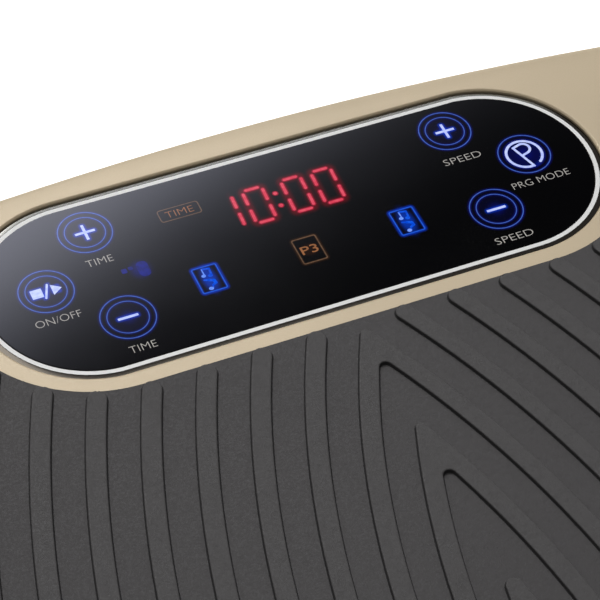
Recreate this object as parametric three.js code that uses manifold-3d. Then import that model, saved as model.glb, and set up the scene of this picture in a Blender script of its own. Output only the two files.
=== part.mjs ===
// A slim see-saw vibration plate: a champagne deck with a ribbed standing mat and a touch panel rocks on a
// central pivot above a black base that holds the motor, belt, crank and electronics.
// Millimetres, +Z up. The origin is on the floor under the middle of the plate; +Y is the panel side.
import * as THREE from 'three';
import { mergeVertices } from 'three/addons/utils/BufferGeometryUtils.js';
import Module from 'manifold-3d';

const wasm = await Module();
wasm.setup();

// Driving dimensions
const GAP = 0.3; // between pieces that touch
const ROUND = 20; // sides of a small round piece
const HALF_X = 274; // deck, half its width
const HALF_Y = 172; // deck, half its depth
const LONG_EDGE_R = 740; // bow of the front and back edges
const SIDE_EDGE_R = 520; // bow of the two ends
const CORNER_R = 62;
const ARC_STEPS = 4; // pairs of straight steps on each of the outline's arcs

const DECK_Z = 118; // top face of the deck
const SKIRT_Z = 56; // lower rim of the deck's skirt
const WALL = 3;
const EDGE_R = 2.5; // rounding along the deck's top edge
const MAT_TOP = 121.2;
const MAT_INSET = 13; // gold rim left round the mat

const PANEL_Y = 138.4; // middle of the touch panel
const PANEL_HALF = 47; // half the panel's straight stretch
const GLASS_R = 22.8;
const BEZEL_IN_R = 23.1;
const BEZEL_TOP_R = 24.2;
const BEZEL_R = 25.35;
const GLASS_TOP = 117.6; // the panel sits just below the deck
const POCKET_Z = 114.3; // floor of the pocket that holds glass and bezel
const BAY_R = 31; // edge of the mat round the panel
const HORN_R = 15; // rounded ends of the mat beside the panel
const SEAT_R = 28.5; // collar under the pocket
const WINDOW_R = 20.5; // opening under the glass, for the lights
const BOARD_UNDER_Z = 106; // display board, under the glass
const BOARD_T = 1.6;
const BOARD_UNDER_R = 25;
const BOARD_POST_X = 40;
const BOARD_POST_Y = 22.5;
const LIGHTS_X0 = -15.3; // block of lit digits on the display board
const LIGHTS_X1 = 18.7;
const LIGHTS_Y0 = 2; // from the panel's middle line
const LIGHTS_Y1 = 16;
const SCREW_X = 185; // deck screws, three across and two deep
const SCREW_Y = 60;
const SCREW_R = 2;

const BASE_Z = 10; // underside of the base
const BASE_TOP = 72;
const BASE_INSET = 12; // base wall inside the deck's outline
const FLOOR_Z = BASE_Z + WALL;
const CHASSIS_Z = FLOOR_Z + GAP;
const CHASSIS_TOP = CHASSIS_Z + 2.5;
const SEAT_Z = CHASSIS_TOP + GAP; // what is bolted to the chassis stands here
const CHASSIS_HALF_X = 200;
const CHASSIS_HALF_Y = 118;
const CHASSIS_EDGE_Z = 24; // top of the edge folded up along its front and back
const POST_TOP = 85; // buffer posts
const FOOT_X = 182;
const FOOT_Y = 84;
const FOOT_HOLE_R = 2.8;

const PLATE_Z = 100; // underside of the steel platform plate
const PLATE_TOP = PLATE_Z + 3;
const PLATE_HALF_X = 200;
const PLATE_HALF_Y = 124;
const EAR_HALF = 2; // half the thickness of the ears that hold the pins
const PIVOT_Z = 66; // rocking axis
const PIVOT_Y = 110; // middle of each pivot block
const PIVOT_R = 8;
const PIVOT_BEARING_R = 16;
const PIVOT_EAR_Y = 11; // ears either side of each pivot block

const CRANK_X = 80;
const CRANK_Z = 50;
const CRANK_R = 6;
const CRANK_BEARING_R = 13;
const CRANK_BLOCK_Y = 80;
const THROW = 1.6; // eccentric's offset from the crank axis
const CAM_R = 13;
const ROD_Y = 32;
const ROD_HALF = 5.7; // half the rod's thickness
const ROD_PIN_Z = 86;
const ROD_PIN_R = 4;
const ROD_EAR_Y = 8.2; // ears either side of each rod
const BIG_END_R = 17; // open pivot: clears the cam at every crank and rock angle

const MOTOR_X = -115;
const MOTOR_Z = 57;
const MOTOR_R = 36;
const MOTOR_SHAFT_R = 5;
const MOTOR_FRONT = -65;
const MOTOR_BACK = 35;
const BELT_Y = 59; // middle of the belt and both pulleys
const BELT_T = 3;
const BELT_HALF = 5;
const DRIVEN_R = 28.2;
const DRIVE_R = 13.2; // pitch radii, half a belt and a gap further out, are 30 and 15

const INLET_X = -24;
const SWITCH_X = 26;
const SOCKET_Z = 36; // middle of the power inlet and the switch
const SWITCH_Y = 157; // rocker's pivot
const SWITCH_TILT = 8; // degrees either side of level
const PAD_Y = 160.4; // flat boss on the back wall
const BUFFER_X = 165;
const BUFFER_Y = 95;
const SPEAKER_X = 256;
const SPEAKER_Z = 41;
const SPEAKER_HALF = 30;
const BOARD_X = -190; // control board
const BOARD_Z = 24;
const TRANSFORMER_X = 185;

const FINISH = {
  gold: { color: 0xc6b496, roughness: 0.45, metalness: 0.35 },
  mat: { color: 0x484747, roughness: 0.85, metalness: 0 },
  silver: { color: 0xe4e4e2, roughness: 0.25, metalness: 0.9 },
  glass: { color: 0x08090c, roughness: 0.08, metalness: 0 },
  black: { color: 0x1c1c1e, roughness: 0.55, metalness: 0 },
  rubber: { color: 0x161616, roughness: 0.9, metalness: 0 },
  steel: { color: 0x8f949a, roughness: 0.4, metalness: 0.9 },
  zinc: { color: 0xb9bcc0, roughness: 0.3, metalness: 1 },
  painted: { color: 0x26282b, roughness: 0.6, metalness: 0.3 },
  cast: { color: 0x5a5d61, roughness: 0.6, metalness: 0.8 },
  aluminium: { color: 0xa9adb3, roughness: 0.4, metalness: 0.9 },
  board: { color: 0x1d5a3a, roughness: 0.5, metalness: 0 },
  digits: { color: 0x2a2c30, roughness: 0.4, metalness: 0 },
  copper: { color: 0x8a4b2a, roughness: 0.5, metalness: 0.5 },
  lead: { color: 0x202022, roughness: 0.6, metalness: 0 },
};

const part = new THREE.Group();
const platform = new THREE.Group();
const crank = new THREE.Group();
crank.position.set(CRANK_X, 0, CRANK_Z);
const rotor = new THREE.Group();
rotor.position.set(MOTOR_X, 0, MOTOR_Z);
part.add(platform, crank, rotor);

// Solids

function solid(geometry) {
  geometry.deleteAttribute('normal');
  geometry.deleteAttribute('uv');
  const merged = mergeVertices(geometry, 1e-4);
  return new wasm.Manifold(new wasm.Mesh({
    numProp: 3,
    vertProperties: new Float32Array(merged.attributes.position.array),
    triVerts: new Uint32Array(merged.index.array),
  }));
}

function join(...solids) {
  return solids.reduce((whole, next) => whole.add(next));
}

function cut(body, ...tools) {
  return tools.reduce((rest, tool) => rest.subtract(tool), body);
}

function piece(group, name, body, finish) {
  const { vertProperties, triVerts } = body.getMesh();
  const geometry = new THREE.BufferGeometry();
  geometry.setAttribute('position', new THREE.BufferAttribute(vertProperties, 3));
  geometry.setIndex(new THREE.BufferAttribute(triVerts, 1));
  geometry.computeVertexNormals();
  const mesh = new THREE.Mesh(geometry, new THREE.MeshStandardMaterial(finish));
  mesh.name = name;
  group.add(mesh);
  return mesh;
}

function block(x0, x1, y0, y1, z0, z1) {
  const geometry = new THREE.BoxGeometry(x1 - x0, y1 - y0, z1 - z0);
  geometry.translate((x0 + x1) / 2, (y0 + y1) / 2, (z0 + z1) / 2);
  return solid(geometry);
}

function rodX(radius, x0, x1, y, z, sides = ROUND) {
  const geometry = new THREE.CylinderGeometry(radius, radius, x1 - x0, sides);
  geometry.rotateZ(Math.PI / 2);
  geometry.translate((x0 + x1) / 2, y, z);
  return solid(geometry);
}

function rodY(radius, y0, y1, x = 0, z = 0, sides = ROUND) {
  const geometry = new THREE.CylinderGeometry(radius, radius, y1 - y0, sides);
  geometry.translate(x, (y0 + y1) / 2, z);
  return solid(geometry);
}

function rodZ(radius, z0, z1, x = 0, y = 0, sides = ROUND) {
  const geometry = new THREE.CylinderGeometry(radius, radius, z1 - z0, sides);
  geometry.rotateX(Math.PI / 2);
  geometry.translate(x, y, (z0 + z1) / 2);
  return solid(geometry);
}

// A turned piece: its profile is a list of [radius, height] going up its outside, about the Y axis.
function turnedY(profile, sides = ROUND) {
  const points = profile.map(([radius, height]) => new THREE.Vector2(radius, height));
  return solid(new THREE.LatheGeometry(points, sides));
}

function turnedZ(profile, sides = ROUND) {
  const points = profile.map(([radius, height]) => new THREE.Vector2(radius, height));
  const geometry = new THREE.LatheGeometry(points, sides);
  geometry.rotateX(Math.PI / 2);
  return solid(geometry);
}

function ringY(outer, inner, y0, y1) {
  return cut(rodY(outer, y0, y1), rodY(inner, y0 - 1, y1 + 1));
}

function slab(shape, z0, z1, curveSegments = ARC_STEPS) {
  const geometry = new THREE.ExtrudeGeometry(shape, { depth: z1 - z0, bevelEnabled: false, curveSegments });
  geometry.translate(0, 0, z0);
  return solid(geometry);
}

// An outline drawn in X and Z, extruded along Y.
function slabY(shape, y0, y1, curveSegments = ARC_STEPS) {
  const geometry = new THREE.ExtrudeGeometry(shape, { depth: y1 - y0, bevelEnabled: false, curveSegments });
  geometry.rotateX(Math.PI / 2);
  geometry.translate(0, y1, 0);
  return solid(geometry);
}

// Rings of equally many points, lowest first, closed by a flat cap at each end.
function loft(rings) {
  const count = rings[0].outline.length;
  const position = rings.flatMap(({ z, outline }) => outline.flatMap((p) => [p.x, p.y, z]));
  const index = [];
  const top = (rings.length - 1) * count;
  THREE.ShapeUtils.triangulateShape(rings[0].outline, []).forEach(([a, b, c]) => {
    index.push(a, c, b, top + a, top + b, top + c);
  });
  for (let low = 0; low < top; low += count) {
    for (let i = 0; i < count; i += 1) {
      const next = (i + 1) % count;
      index.push(low + i, low + next, low + count + next);
      index.push(low + i, low + count + next, low + count + i);
    }
  }
  const geometry = new THREE.BufferGeometry();
  geometry.setAttribute('position', new THREE.Float32BufferAttribute(position, 3));
  geometry.setIndex(index);
  return solid(geometry);
}

// Outlines

// Centre of the corner arc that touches both the long edge's arc and the end's arc from inside.
function cornerCentre() {
  const longY = HALF_Y - LONG_EDGE_R;
  const sideX = HALF_X - SIDE_EDGE_R;
  const longReach = LONG_EDGE_R - CORNER_R;
  const sideReach = SIDE_EDGE_R - CORNER_R;
  const apart = Math.hypot(sideX, longY);
  const along = (longReach ** 2 - sideReach ** 2 + apart ** 2) / (2 * apart);
  const off = Math.sqrt(longReach ** 2 - along ** 2);
  const ux = sideX / apart;
  const uy = -longY / apart;
  return new THREE.Vector2(along * ux + off * uy, longY + along * uy - off * ux);
}

const corner = cornerCentre();
const longTurn = Math.atan2(corner.y - HALF_Y + LONG_EDGE_R, corner.x);
const sideTurn = Math.atan2(corner.y, corner.x - HALF_X + SIDE_EDGE_R);

// The deck's outline moved in by inset: four bowed edges joined by four corner arcs, anticlockwise.
function plateShape(inset) {
  const shape = new THREE.Shape();
  const longR = LONG_EDGE_R - inset;
  const sideR = SIDE_EDGE_R - inset;
  const cornerR = CORNER_R - inset;
  const longY = HALF_Y - LONG_EDGE_R;
  const sideX = HALF_X - SIDE_EDGE_R;
  const { x, y } = corner;
  shape.absarc(sideX, 0, sideR, -sideTurn, sideTurn);
  shape.absarc(x, y, cornerR, sideTurn, longTurn);
  shape.absarc(0, longY, longR, longTurn, Math.PI - longTurn);
  shape.absarc(-x, y, cornerR, Math.PI - longTurn, Math.PI - sideTurn);
  shape.absarc(-sideX, 0, sideR, Math.PI - sideTurn, Math.PI + sideTurn);
  shape.absarc(-x, -y, cornerR, Math.PI + sideTurn, Math.PI + longTurn);
  shape.absarc(0, -longY, longR, Math.PI + longTurn, 2 * Math.PI - longTurn);
  shape.absarc(x, -y, cornerR, -longTurn, -sideTurn);
  return shape;
}

// Rings of the deck's outline from a list of [height, inset].
function plateRings(levels) {
  return levels.map(([z, inset]) => {
    const outline = plateShape(inset).getPoints(ARC_STEPS);
    return { z, outline: outline.filter((p, i) => p.distanceTo(outline[(i + 1) % outline.length]) > 1e-6) };
  });
}

// A long oval about the panel's middle.
function ovalShape(radius) {
  const shape = new THREE.Shape();
  shape.absarc(PANEL_HALF, PANEL_Y, radius, -Math.PI / 2, Math.PI / 2);
  shape.absarc(-PANEL_HALF, PANEL_Y, radius, Math.PI / 2, Math.PI * 1.5);
  return shape;
}

function ovalRings(levels) {
  return levels.map(([z, radius]) => {
    const outline = ovalShape(radius).getPoints(ARC_STEPS * 2);
    return { z, outline: outline.filter((p, i) => p.distanceTo(outline[(i + 1) % outline.length]) > 1e-6) };
  });
}

// The loop that a belt makes round two circles in the X and Z plane.
function beltShape(from, fromR, to, toR) {
  const lean = Math.atan2(to.y - from.y, to.x - from.x);
  const touch = Math.acos((fromR - toR) / from.distanceTo(to));
  const shape = new THREE.Shape();
  shape.absarc(to.x, to.y, toR, lean - touch, lean + touch);
  shape.absarc(from.x, from.y, fromR, lean + touch, lean - touch + 2 * Math.PI);
  return shape;
}

// Deck

function grid(xs, ys) {
  return xs.flatMap((x) => ys.map((y) => [x, y]));
}

const DECK_SCREWS = grid([-SCREW_X, 0, SCREW_X], [-SCREW_Y, SCREW_Y]);
const BOARD_POSTS = grid([-BOARD_POST_X, BOARD_POST_X], [-BOARD_POST_Y, BOARD_POST_Y]);

function topHousing() {
  const rounding = [0, 1.5, 3].map((step) => {
    const turn = (step * Math.PI) / 6;
    return [DECK_Z - EDGE_R * (1 - Math.sin(turn)), EDGE_R * (1 - Math.cos(turn))];
  });
  const outside = loft(plateRings([[SKIRT_Z, 1], [SKIRT_Z + 1.5, 0], ...rounding]));
  const inside = loft(plateRings([[SKIRT_Z - 1, WALL], [DECK_Z - WALL, WALL]]));
  const panelSeat = slab(ovalShape(SEAT_R), POCKET_Z - 3.5, DECK_Z - 1);
  const postLow = BOARD_UNDER_Z + BOARD_T + GAP;
  const boardPosts = BOARD_POSTS.map(([x, y]) => rodZ(3, postLow, POCKET_Z - 3.2, x, PANEL_Y + y, 8));
  const bosses = DECK_SCREWS.map(([x, y]) => rodZ(6, PLATE_TOP + GAP, DECK_Z - 1, x, y, 10));
  const pilots = DECK_SCREWS.map(([x, y]) => rodZ(SCREW_R + GAP, PLATE_Z, DECK_Z - 4, x, y, 8));
  const pocket = slab(ovalShape(BEZEL_R + GAP), POCKET_Z, DECK_Z + 1, ARC_STEPS * 2);
  const window = slab(ovalShape(WINDOW_R), POCKET_Z - 5, POCKET_Z + 1);
  return cut(join(cut(outside, inside), panelSeat, ...boardPosts, ...bosses), pocket, window, ...pilots);
}

function bayShape() {
  const side = PANEL_HALF + BAY_R;
  const turn = side + HORN_R;
  const hornY = HALF_Y - MAT_INSET - turn ** 2 / (2 * LONG_EDGE_R) - HORN_R;
  const shape = new THREE.Shape();
  shape.moveTo(turn, HALF_Y + 1);
  shape.lineTo(-turn, HALF_Y + 1);
  shape.absarc(-turn, hornY, HORN_R, Math.PI / 2, 0, true);
  shape.absarc(-PANEL_HALF, PANEL_Y, BAY_R, Math.PI, Math.PI * 1.5);
  shape.absarc(PANEL_HALF, PANEL_Y, BAY_R, Math.PI * 1.5, Math.PI * 2);
  shape.absarc(turn, hornY, HORN_R, Math.PI, Math.PI / 2, true);
  return shape;
}

function standingMat() {
  const bottom = DECK_Z + GAP;
  const bevel = 0.8;
  const edge = [[bottom, MAT_INSET], [MAT_TOP - bevel, MAT_INSET], [MAT_TOP, MAT_INSET + bevel]];
  const sheet = loft(plateRings(edge));
  return cut(sheet, slab(bayShape(), bottom - 1, MAT_TOP + 1));
}

function bezelRing() {
  const low = POCKET_Z + GAP;
  const slope = [[low, BEZEL_R], [GLASS_TOP - 0.35, BEZEL_R], [GLASS_TOP + 0.1, BEZEL_TOP_R]];
  const body = loft(ovalRings(slope));
  return cut(body, slab(ovalShape(BEZEL_IN_R), low - 1, DECK_Z + 2, ARC_STEPS * 2));
}

function platformFrame() {
  const plate = block(-PLATE_HALF_X, PLATE_HALF_X, -PLATE_HALF_Y, PLATE_HALF_Y, PLATE_Z, PLATE_TOP);
  const ears = [];
  const pivotBore = rodY(PIVOT_R + GAP, -130, 130, 0, PIVOT_Z, 16);
  const rodPinBore = rodY(ROD_PIN_R + GAP, -50, 50, CRANK_X, ROD_PIN_Z, 12);
  for (const side of [-1, 1]) {
    for (const offset of [-PIVOT_EAR_Y, PIVOT_EAR_Y]) {
      const y = side * PIVOT_Y + offset;
      ears.push(block(-14, 14, y - EAR_HALF, y + EAR_HALF, PIVOT_Z - 14, PLATE_Z + 1));
    }
    for (const offset of [-ROD_EAR_Y, ROD_EAR_Y]) {
      const y = side * ROD_Y + offset;
      ears.push(block(CRANK_X - 10, CRANK_X + 10, y - EAR_HALF, y + EAR_HALF, ROD_PIN_Z - 9, PLATE_Z + 1));
    }
  }
  const holes = DECK_SCREWS.map(([x, y]) => rodZ(SCREW_R + 0.4, PLATE_Z - 1, PLATE_TOP + 1, x, y, 8));
  return cut(join(plate, ...ears), pivotBore, rodPinBore, ...holes);
}

piece(platform, 'top_housing', topHousing(), FINISH.gold);
piece(platform, 'standing_mat', standingMat(), FINISH.mat);
piece(platform, 'bezel_ring', bezelRing(), FINISH.silver);
const glass = slab(ovalShape(GLASS_R), POCKET_Z + GAP, GLASS_TOP, ARC_STEPS * 2);
piece(platform, 'panel_glass', glass, FINISH.glass);
const lightsY = [PANEL_Y + LIGHTS_Y0, PANEL_Y + LIGHTS_Y1];
const boardTop = BOARD_UNDER_Z + BOARD_T;
const lights = block(LIGHTS_X0, LIGHTS_X1, ...lightsY, boardTop + GAP, POCKET_Z);
piece(platform, 'display_board', slab(ovalShape(BOARD_UNDER_R), BOARD_UNDER_Z, boardTop), FINISH.board);
piece(platform, 'led_display', lights, FINISH.digits);
piece(platform, 'platform_frame', platformFrame(), FINISH.steel);

DECK_SCREWS.forEach(([x, y], i) => {
  const screw = turnedZ([[0, -3], [4.5, -3], [4.5, 0], [SCREW_R, 0.3], [SCREW_R, 12], [0, 12]], 8);
  piece(platform, `deck_screw_${i + 1}`, screw, FINISH.zinc).position.set(x, y, PLATE_Z - GAP);
});

// Base

const FEET = [[-1, -1, 'front_left'], [1, -1, 'front_right'], [-1, 1, 'back_left'], [1, 1, 'back_right']];

function baseShell() {
  const wall = BASE_INSET + WALL;
  const flank = [[21, 15.5], [32, 12.8], [44, BASE_INSET], [BASE_TOP, BASE_INSET]];
  const bowl = [[BASE_Z, 26], [BASE_Z + 3, 20], ...flank];
  const hollow = [[FLOOR_Z, 23.5], [21, 18.7], [32, 15.8], [44, wall], [BASE_TOP + 1, wall]];
  const outside = loft(plateRings(bowl));
  const inside = loft(plateRings(hollow));
  const pad = block(-52, 52, PAD_Y - 6, PAD_Y, SOCKET_Z - 14, SOCKET_Z + 14);
  const openings = [
    block(INLET_X - 14.3, INLET_X + 14.3, 140, 170, SOCKET_Z - 9.8, SOCKET_Z + 9.8),
    block(SWITCH_X - 11.3, SWITCH_X + 11.3, 140, 170, SOCKET_Z - 7.8, SOCKET_Z + 7.8),
  ];
  for (const side of [-1, 1]) {
    const x = side * (SPEAKER_X + 4);
    for (const y of [-18, -9, 0, 9, 18]) {
      openings.push(block(x - 6, x + 6, y - 1.5, y + 1.5, SPEAKER_Z - 9, SPEAKER_Z + 9));
    }
    for (const vent of [215, 223, 231]) {
      openings.push(block(side * vent - 1.5, side * vent + 1.5, -30, 30, BASE_Z - 1, FLOOR_Z + 1));
    }
  }
  for (const [sx, sy] of FEET) {
    openings.push(rodZ(FOOT_HOLE_R, BASE_Z - 1, FLOOR_Z + 1, sx * FOOT_X, sy * FOOT_Y, 12));
  }
  return cut(join(cut(outside, inside), pad), ...openings);
}

function baseFrame() {
  const innerX = CHASSIS_HALF_X + 1;
  const innerY = CHASSIS_HALF_Y - 2.5;
  const tray = cut(
    block(-CHASSIS_HALF_X, CHASSIS_HALF_X, -CHASSIS_HALF_Y, CHASSIS_HALF_Y, CHASSIS_Z, CHASSIS_EDGE_Z),
    block(-innerX, innerX, -innerY, innerY, CHASSIS_TOP, CHASSIS_EDGE_Z + 1),
  );
  const posts = [];
  const holes = [];
  for (const [sx, sy] of FEET) {
    posts.push(rodZ(7, CHASSIS_TOP - 1, POST_TOP, sx * BUFFER_X, sy * BUFFER_Y, 16));
    posts.push(rodZ(3.5, CHASSIS_TOP - 1, BOARD_Z - GAP, BOARD_X + 10 + sx * 16, sy * 42, 10));
    holes.push(rodZ(FOOT_HOLE_R, CHASSIS_Z - 1, CHASSIS_TOP + 1, sx * FOOT_X, sy * FOOT_Y, 12));
  }
  return cut(join(tray, ...posts), ...holes);
}

const footOutside = [[14, 0], [20, 0], [20, 1.5], [17, 4], [15, BASE_Z - GAP], [FOOT_HOLE_R, BASE_Z - GAP]];
const footRecess = [[FOOT_HOLE_R, 4.3], [5.5, 4.3], [5.5, 2], [11, 2], [14, 0]];
const footProfile = [...footOutside, ...footRecess];
const footScrewProfile = [[0, 2.2], [5, 2.2], [5, 4], [2.5, 4], [2.5, 20], [0, 20]];

piece(part, 'base_shell', baseShell(), FINISH.black);
piece(part, 'base_frame', baseFrame(), FINISH.painted);
for (const [sx, sy, place] of FEET) {
  const x = sx * FOOT_X;
  const y = sy * FOOT_Y;
  piece(part, `foot_${place}`, turnedZ(footProfile, 16), FINISH.rubber).position.set(x, y, 0);
  piece(part, `foot_screw_${place}`, turnedZ(footScrewProfile, 8), FINISH.zinc).position.set(x, y, 0);
  const buffer = turnedZ([[0, 0], [11, 0], [11, 6], [7, 9.4], [0, 9.4]], 16);
  const cushion = piece(part, `buffer_${place}`, buffer, FINISH.rubber);
  cushion.position.set(sx * BUFFER_X, sy * BUFFER_Y, POST_TOP + GAP);
}

// Pivots and crank bearings: a block with a bearing in it, front and back.

function bearingBlock(halfWidth, halfFoot, halfDepth, height, boreR, boreZ) {
  const body = join(
    block(-halfWidth, halfWidth, -halfDepth, halfDepth, SEAT_Z, height),
    block(-halfFoot, halfFoot, -halfDepth, halfDepth, SEAT_Z, SEAT_Z + 5),
  );
  return cut(body, rodY(boreR, -halfDepth - 1, halfDepth + 1, 0, boreZ));
}

for (const [side, place] of [[-1, 'front'], [1, 'back']]) {
  const pivotBlock = bearingBlock(22, 34, 5, PIVOT_Z + 20, PIVOT_BEARING_R + GAP, PIVOT_Z);
  piece(part, `pivot_block_${place}`, pivotBlock, FINISH.cast).position.y = side * PIVOT_Y;
  const pivotRing = ringY(PIVOT_BEARING_R, PIVOT_R + GAP, -4, 4);
  const pivotBearing = piece(part, `pivot_bearing_${place}`, pivotRing, FINISH.zinc);
  pivotBearing.position.set(0, side * PIVOT_Y, PIVOT_Z);
  const pivotPin = piece(platform, `pivot_pin_${place}`, rodY(PIVOT_R, -15, 15), FINISH.zinc);
  pivotPin.position.set(0, side * PIVOT_Y, PIVOT_Z);

  const crankBlock = bearingBlock(20, 32, 7, CRANK_Z + 20, CRANK_BEARING_R + GAP, CRANK_Z);
  piece(part, `crank_block_${place}`, crankBlock, FINISH.cast).position.set(CRANK_X, side * CRANK_BLOCK_Y, 0);
  const crankRing = ringY(CRANK_BEARING_R, CRANK_R + GAP, -6, 6);
  const crankBearing = piece(part, `crank_bearing_${place}`, crankRing, FINISH.zinc);
  crankBearing.position.set(CRANK_X, side * CRANK_BLOCK_Y, CRANK_Z);
}

// Crank, rods and their pins. At rest the cams point along +X, so the deck is level at mid stroke.

function connectingRod() {
  const bigEndZ = CRANK_Z - ROD_PIN_Z;
  const body = join(
    rodY(9, -ROD_HALF, ROD_HALF),
    rodY(BIG_END_R + 6, -ROD_HALF, ROD_HALF, 0, bigEndZ, 32),
    block(-7, 7, -ROD_HALF, ROD_HALF, bigEndZ + BIG_END_R, 0),
  );
  const bores = [rodY(ROD_PIN_R + GAP, -10, 10), rodY(BIG_END_R, -10, 10, 0, bigEndZ, 32)];
  return cut(body, ...bores);
}

piece(crank, 'crank_shaft', rodY(CRANK_R, -92, 92), FINISH.zinc);
for (const [side, place] of [[-1, 'front'], [1, 'back']]) {
  const cam = cut(rodY(CAM_R, -5.5, 5.5, THROW, 0, 32), rodY(CRANK_R + GAP, -6, 6));
  piece(crank, `eccentric_${place}`, cam, FINISH.steel).position.y = side * ROD_Y;
  const rod = new THREE.Group();
  rod.position.set(CRANK_X, side * ROD_Y, ROD_PIN_Z);
  part.add(rod);
  piece(rod, `connecting_rod_${place}`, connectingRod(), FINISH.cast);
  const pin = piece(platform, `rod_pin_${place}`, rodY(ROD_PIN_R, -12, 12), FINISH.zinc);
  pin.position.set(CRANK_X, side * ROD_Y, ROD_PIN_Z);
}

// A flanged pulley: the belt runs between two rims.
function pulley(radius, bore) {
  const rim = radius + BELT_T + 1;
  const half = BELT_HALF + GAP;
  const end = half + 1.7;
  const low = [[bore, -end], [rim, -end], [rim, -half], [radius, -half]];
  const high = [[radius, half], [rim, half], [rim, end], [bore, end], [bore, -end]];
  return turnedY([...low, ...high], 24);
}

piece(crank, 'driven_pulley', pulley(DRIVEN_R, CRANK_R + GAP), FINISH.aluminium).position.y = BELT_Y;

// Motor, belt and brackets

function motorHousing() {
  const bore = MOTOR_SHAFT_R + GAP;
  const front = [[bore, MOTOR_FRONT], [30, MOTOR_FRONT], [MOTOR_R, MOTOR_FRONT + 7]];
  const back = [[MOTOR_R, MOTOR_BACK - 7], [30, MOTOR_BACK], [bore, MOTOR_BACK], [bore, MOTOR_FRONT]];
  return turnedY([...front, ...back], 32);
}

function motorBracket() {
  const plate = block(MOTOR_X - 36, MOTOR_X + 36, -50, 50, SEAT_Z, SEAT_Z + 3);
  const faceY = MOTOR_BACK + GAP;
  const face = block(MOTOR_X - 38, MOTOR_X + 38, faceY, faceY + 4, SEAT_Z, MOTOR_Z + 37);
  const saddle = block(MOTOR_X - 30, MOTOR_X + 30, -50, -40, SEAT_Z, MOTOR_Z - 14);
  const cradle = rodY(MOTOR_R + GAP, -60, 34, MOTOR_X, MOTOR_Z, 32);
  return cut(join(plate, face, saddle), cradle, rodY(8, 30, 45, MOTOR_X, MOTOR_Z));
}

function motorFan() {
  const blades = [0, 1, 2, 3, 4, 5, 6, 7].map((blade) => {
    const geometry = new THREE.BoxGeometry(20, 9, 1.6);
    geometry.translate(17, -4.5, 0);
    geometry.rotateY((blade * Math.PI) / 4);
    return solid(geometry);
  });
  return cut(join(rodY(28, -2, 0), rodY(9, -10, 0), ...blades), rodY(MOTOR_SHAFT_R + GAP, -12, 2));
}

function driveBelt() {
  const from = new THREE.Vector2(MOTOR_X, MOTOR_Z);
  const to = new THREE.Vector2(CRANK_X, CRANK_Z);
  const inner = beltShape(from, DRIVE_R + GAP, to, DRIVEN_R + GAP);
  const outer = beltShape(from, DRIVE_R + GAP + BELT_T, to, DRIVEN_R + GAP + BELT_T);
  const low = BELT_Y - BELT_HALF;
  const high = BELT_Y + BELT_HALF;
  return cut(slabY(outer, low, high, 8), slabY(inner, low - 1, high + 1, 8));
}

const can = piece(part, 'motor_housing', motorHousing(), FINISH.steel);
can.position.set(MOTOR_X, 0, MOTOR_Z);
piece(part, 'motor_bracket', motorBracket(), FINISH.painted);
piece(part, 'drive_belt', driveBelt(), FINISH.rubber);
piece(rotor, 'motor_shaft', rodY(MOTOR_SHAFT_R, -80, BELT_Y + 9), FINISH.zinc);
piece(rotor, 'drive_pulley', pulley(DRIVE_R, MOTOR_SHAFT_R + GAP), FINISH.aluminium).position.y = BELT_Y;
piece(rotor, 'motor_fan', motorFan(), FINISH.black).position.y = MOTOR_FRONT - 2;

// Electronics

function controlBoard() {
  const root = BOARD_Z + 1;
  const parts = [block(BOARD_X - 32, BOARD_X + 34, -52, 52, BOARD_Z, BOARD_Z + BOARD_T)];
  for (const y of [-34, -14]) {
    parts.push(rodZ(8, root, root + 25, BOARD_X - 18, y, 16));
  }
  parts.push(block(BOARD_X - 28, BOARD_X - 8, 20, 40, root, root + 15));
  return join(...parts);
}

function heatSink() {
  const fins = [0, 1, 2, 3, 4].map((fin) => block(fin * 5, fin * 5 + 1.6, -35, 35, 0, 24));
  return join(block(0, 21.6, -35, 35, 0, 4), ...fins);
}

function transformer() {
  return join(
    block(-28, 28, -22, 22, 0, 46),
    block(-17, 17, -32, 32, 9, 37),
    block(-38, 38, -12, 12, 0, 3),
  );
}

// The lead from the inlet runs along the back wall, outside the chassis, to the board.
function inletLead() {
  const route = new THREE.CatmullRomCurve3([
    new THREE.Vector3(INLET_X, 133.6, SOCKET_Z),
    new THREE.Vector3(INLET_X, 130, SOCKET_Z),
    new THREE.Vector3(INLET_X - 8, 126, SOCKET_Z - 1),
    new THREE.Vector3(-60, 123, 32),
    new THREE.Vector3(-120, 118, 29),
    new THREE.Vector3(-165, 112, 29),
    new THREE.Vector3(-203, 102, 30),
    new THREE.Vector3(-215, 82, 32),
    new THREE.Vector3(-210, 55, 30),
  ]);
  const section = new THREE.Shape().absarc(0, 0, 3, 0, Math.PI * 2);
  const shape = { steps: 26, curveSegments: 4, bevelEnabled: false, extrudePath: route };
  return solid(new THREE.ExtrudeGeometry(section, shape));
}

function speaker(side) {
  const basket = join(
    block(SPEAKER_X - 3, SPEAKER_X, -SPEAKER_HALF, SPEAKER_HALF, SPEAKER_Z - 11, SPEAKER_Z + 11),
    rodX(10, SPEAKER_X - 16, SPEAKER_X - 2, 0, SPEAKER_Z),
  );
  const body = cut(basket, rodX(8, SPEAKER_X - 2, SPEAKER_X + 1, 0, SPEAKER_Z));
  return side > 0 ? body : body.mirror([1, 0, 0]);
}

piece(part, 'control_board', controlBoard(), FINISH.board);
piece(part, 'heat_sink', heatSink(), FINISH.aluminium).position.set(BOARD_X + 8, 0, BOARD_Z + BOARD_T + GAP);
piece(part, 'transformer', transformer(), FINISH.copper).position.set(TRANSFORMER_X, 0, SEAT_Z);
piece(part, 'inlet_lead', inletLead(), FINISH.lead);
piece(part, 'speaker_left', speaker(-1), FINISH.black);
piece(part, 'speaker_right', speaker(1), FINISH.black);

// Power inlet and rocker switch in the back wall

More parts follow.
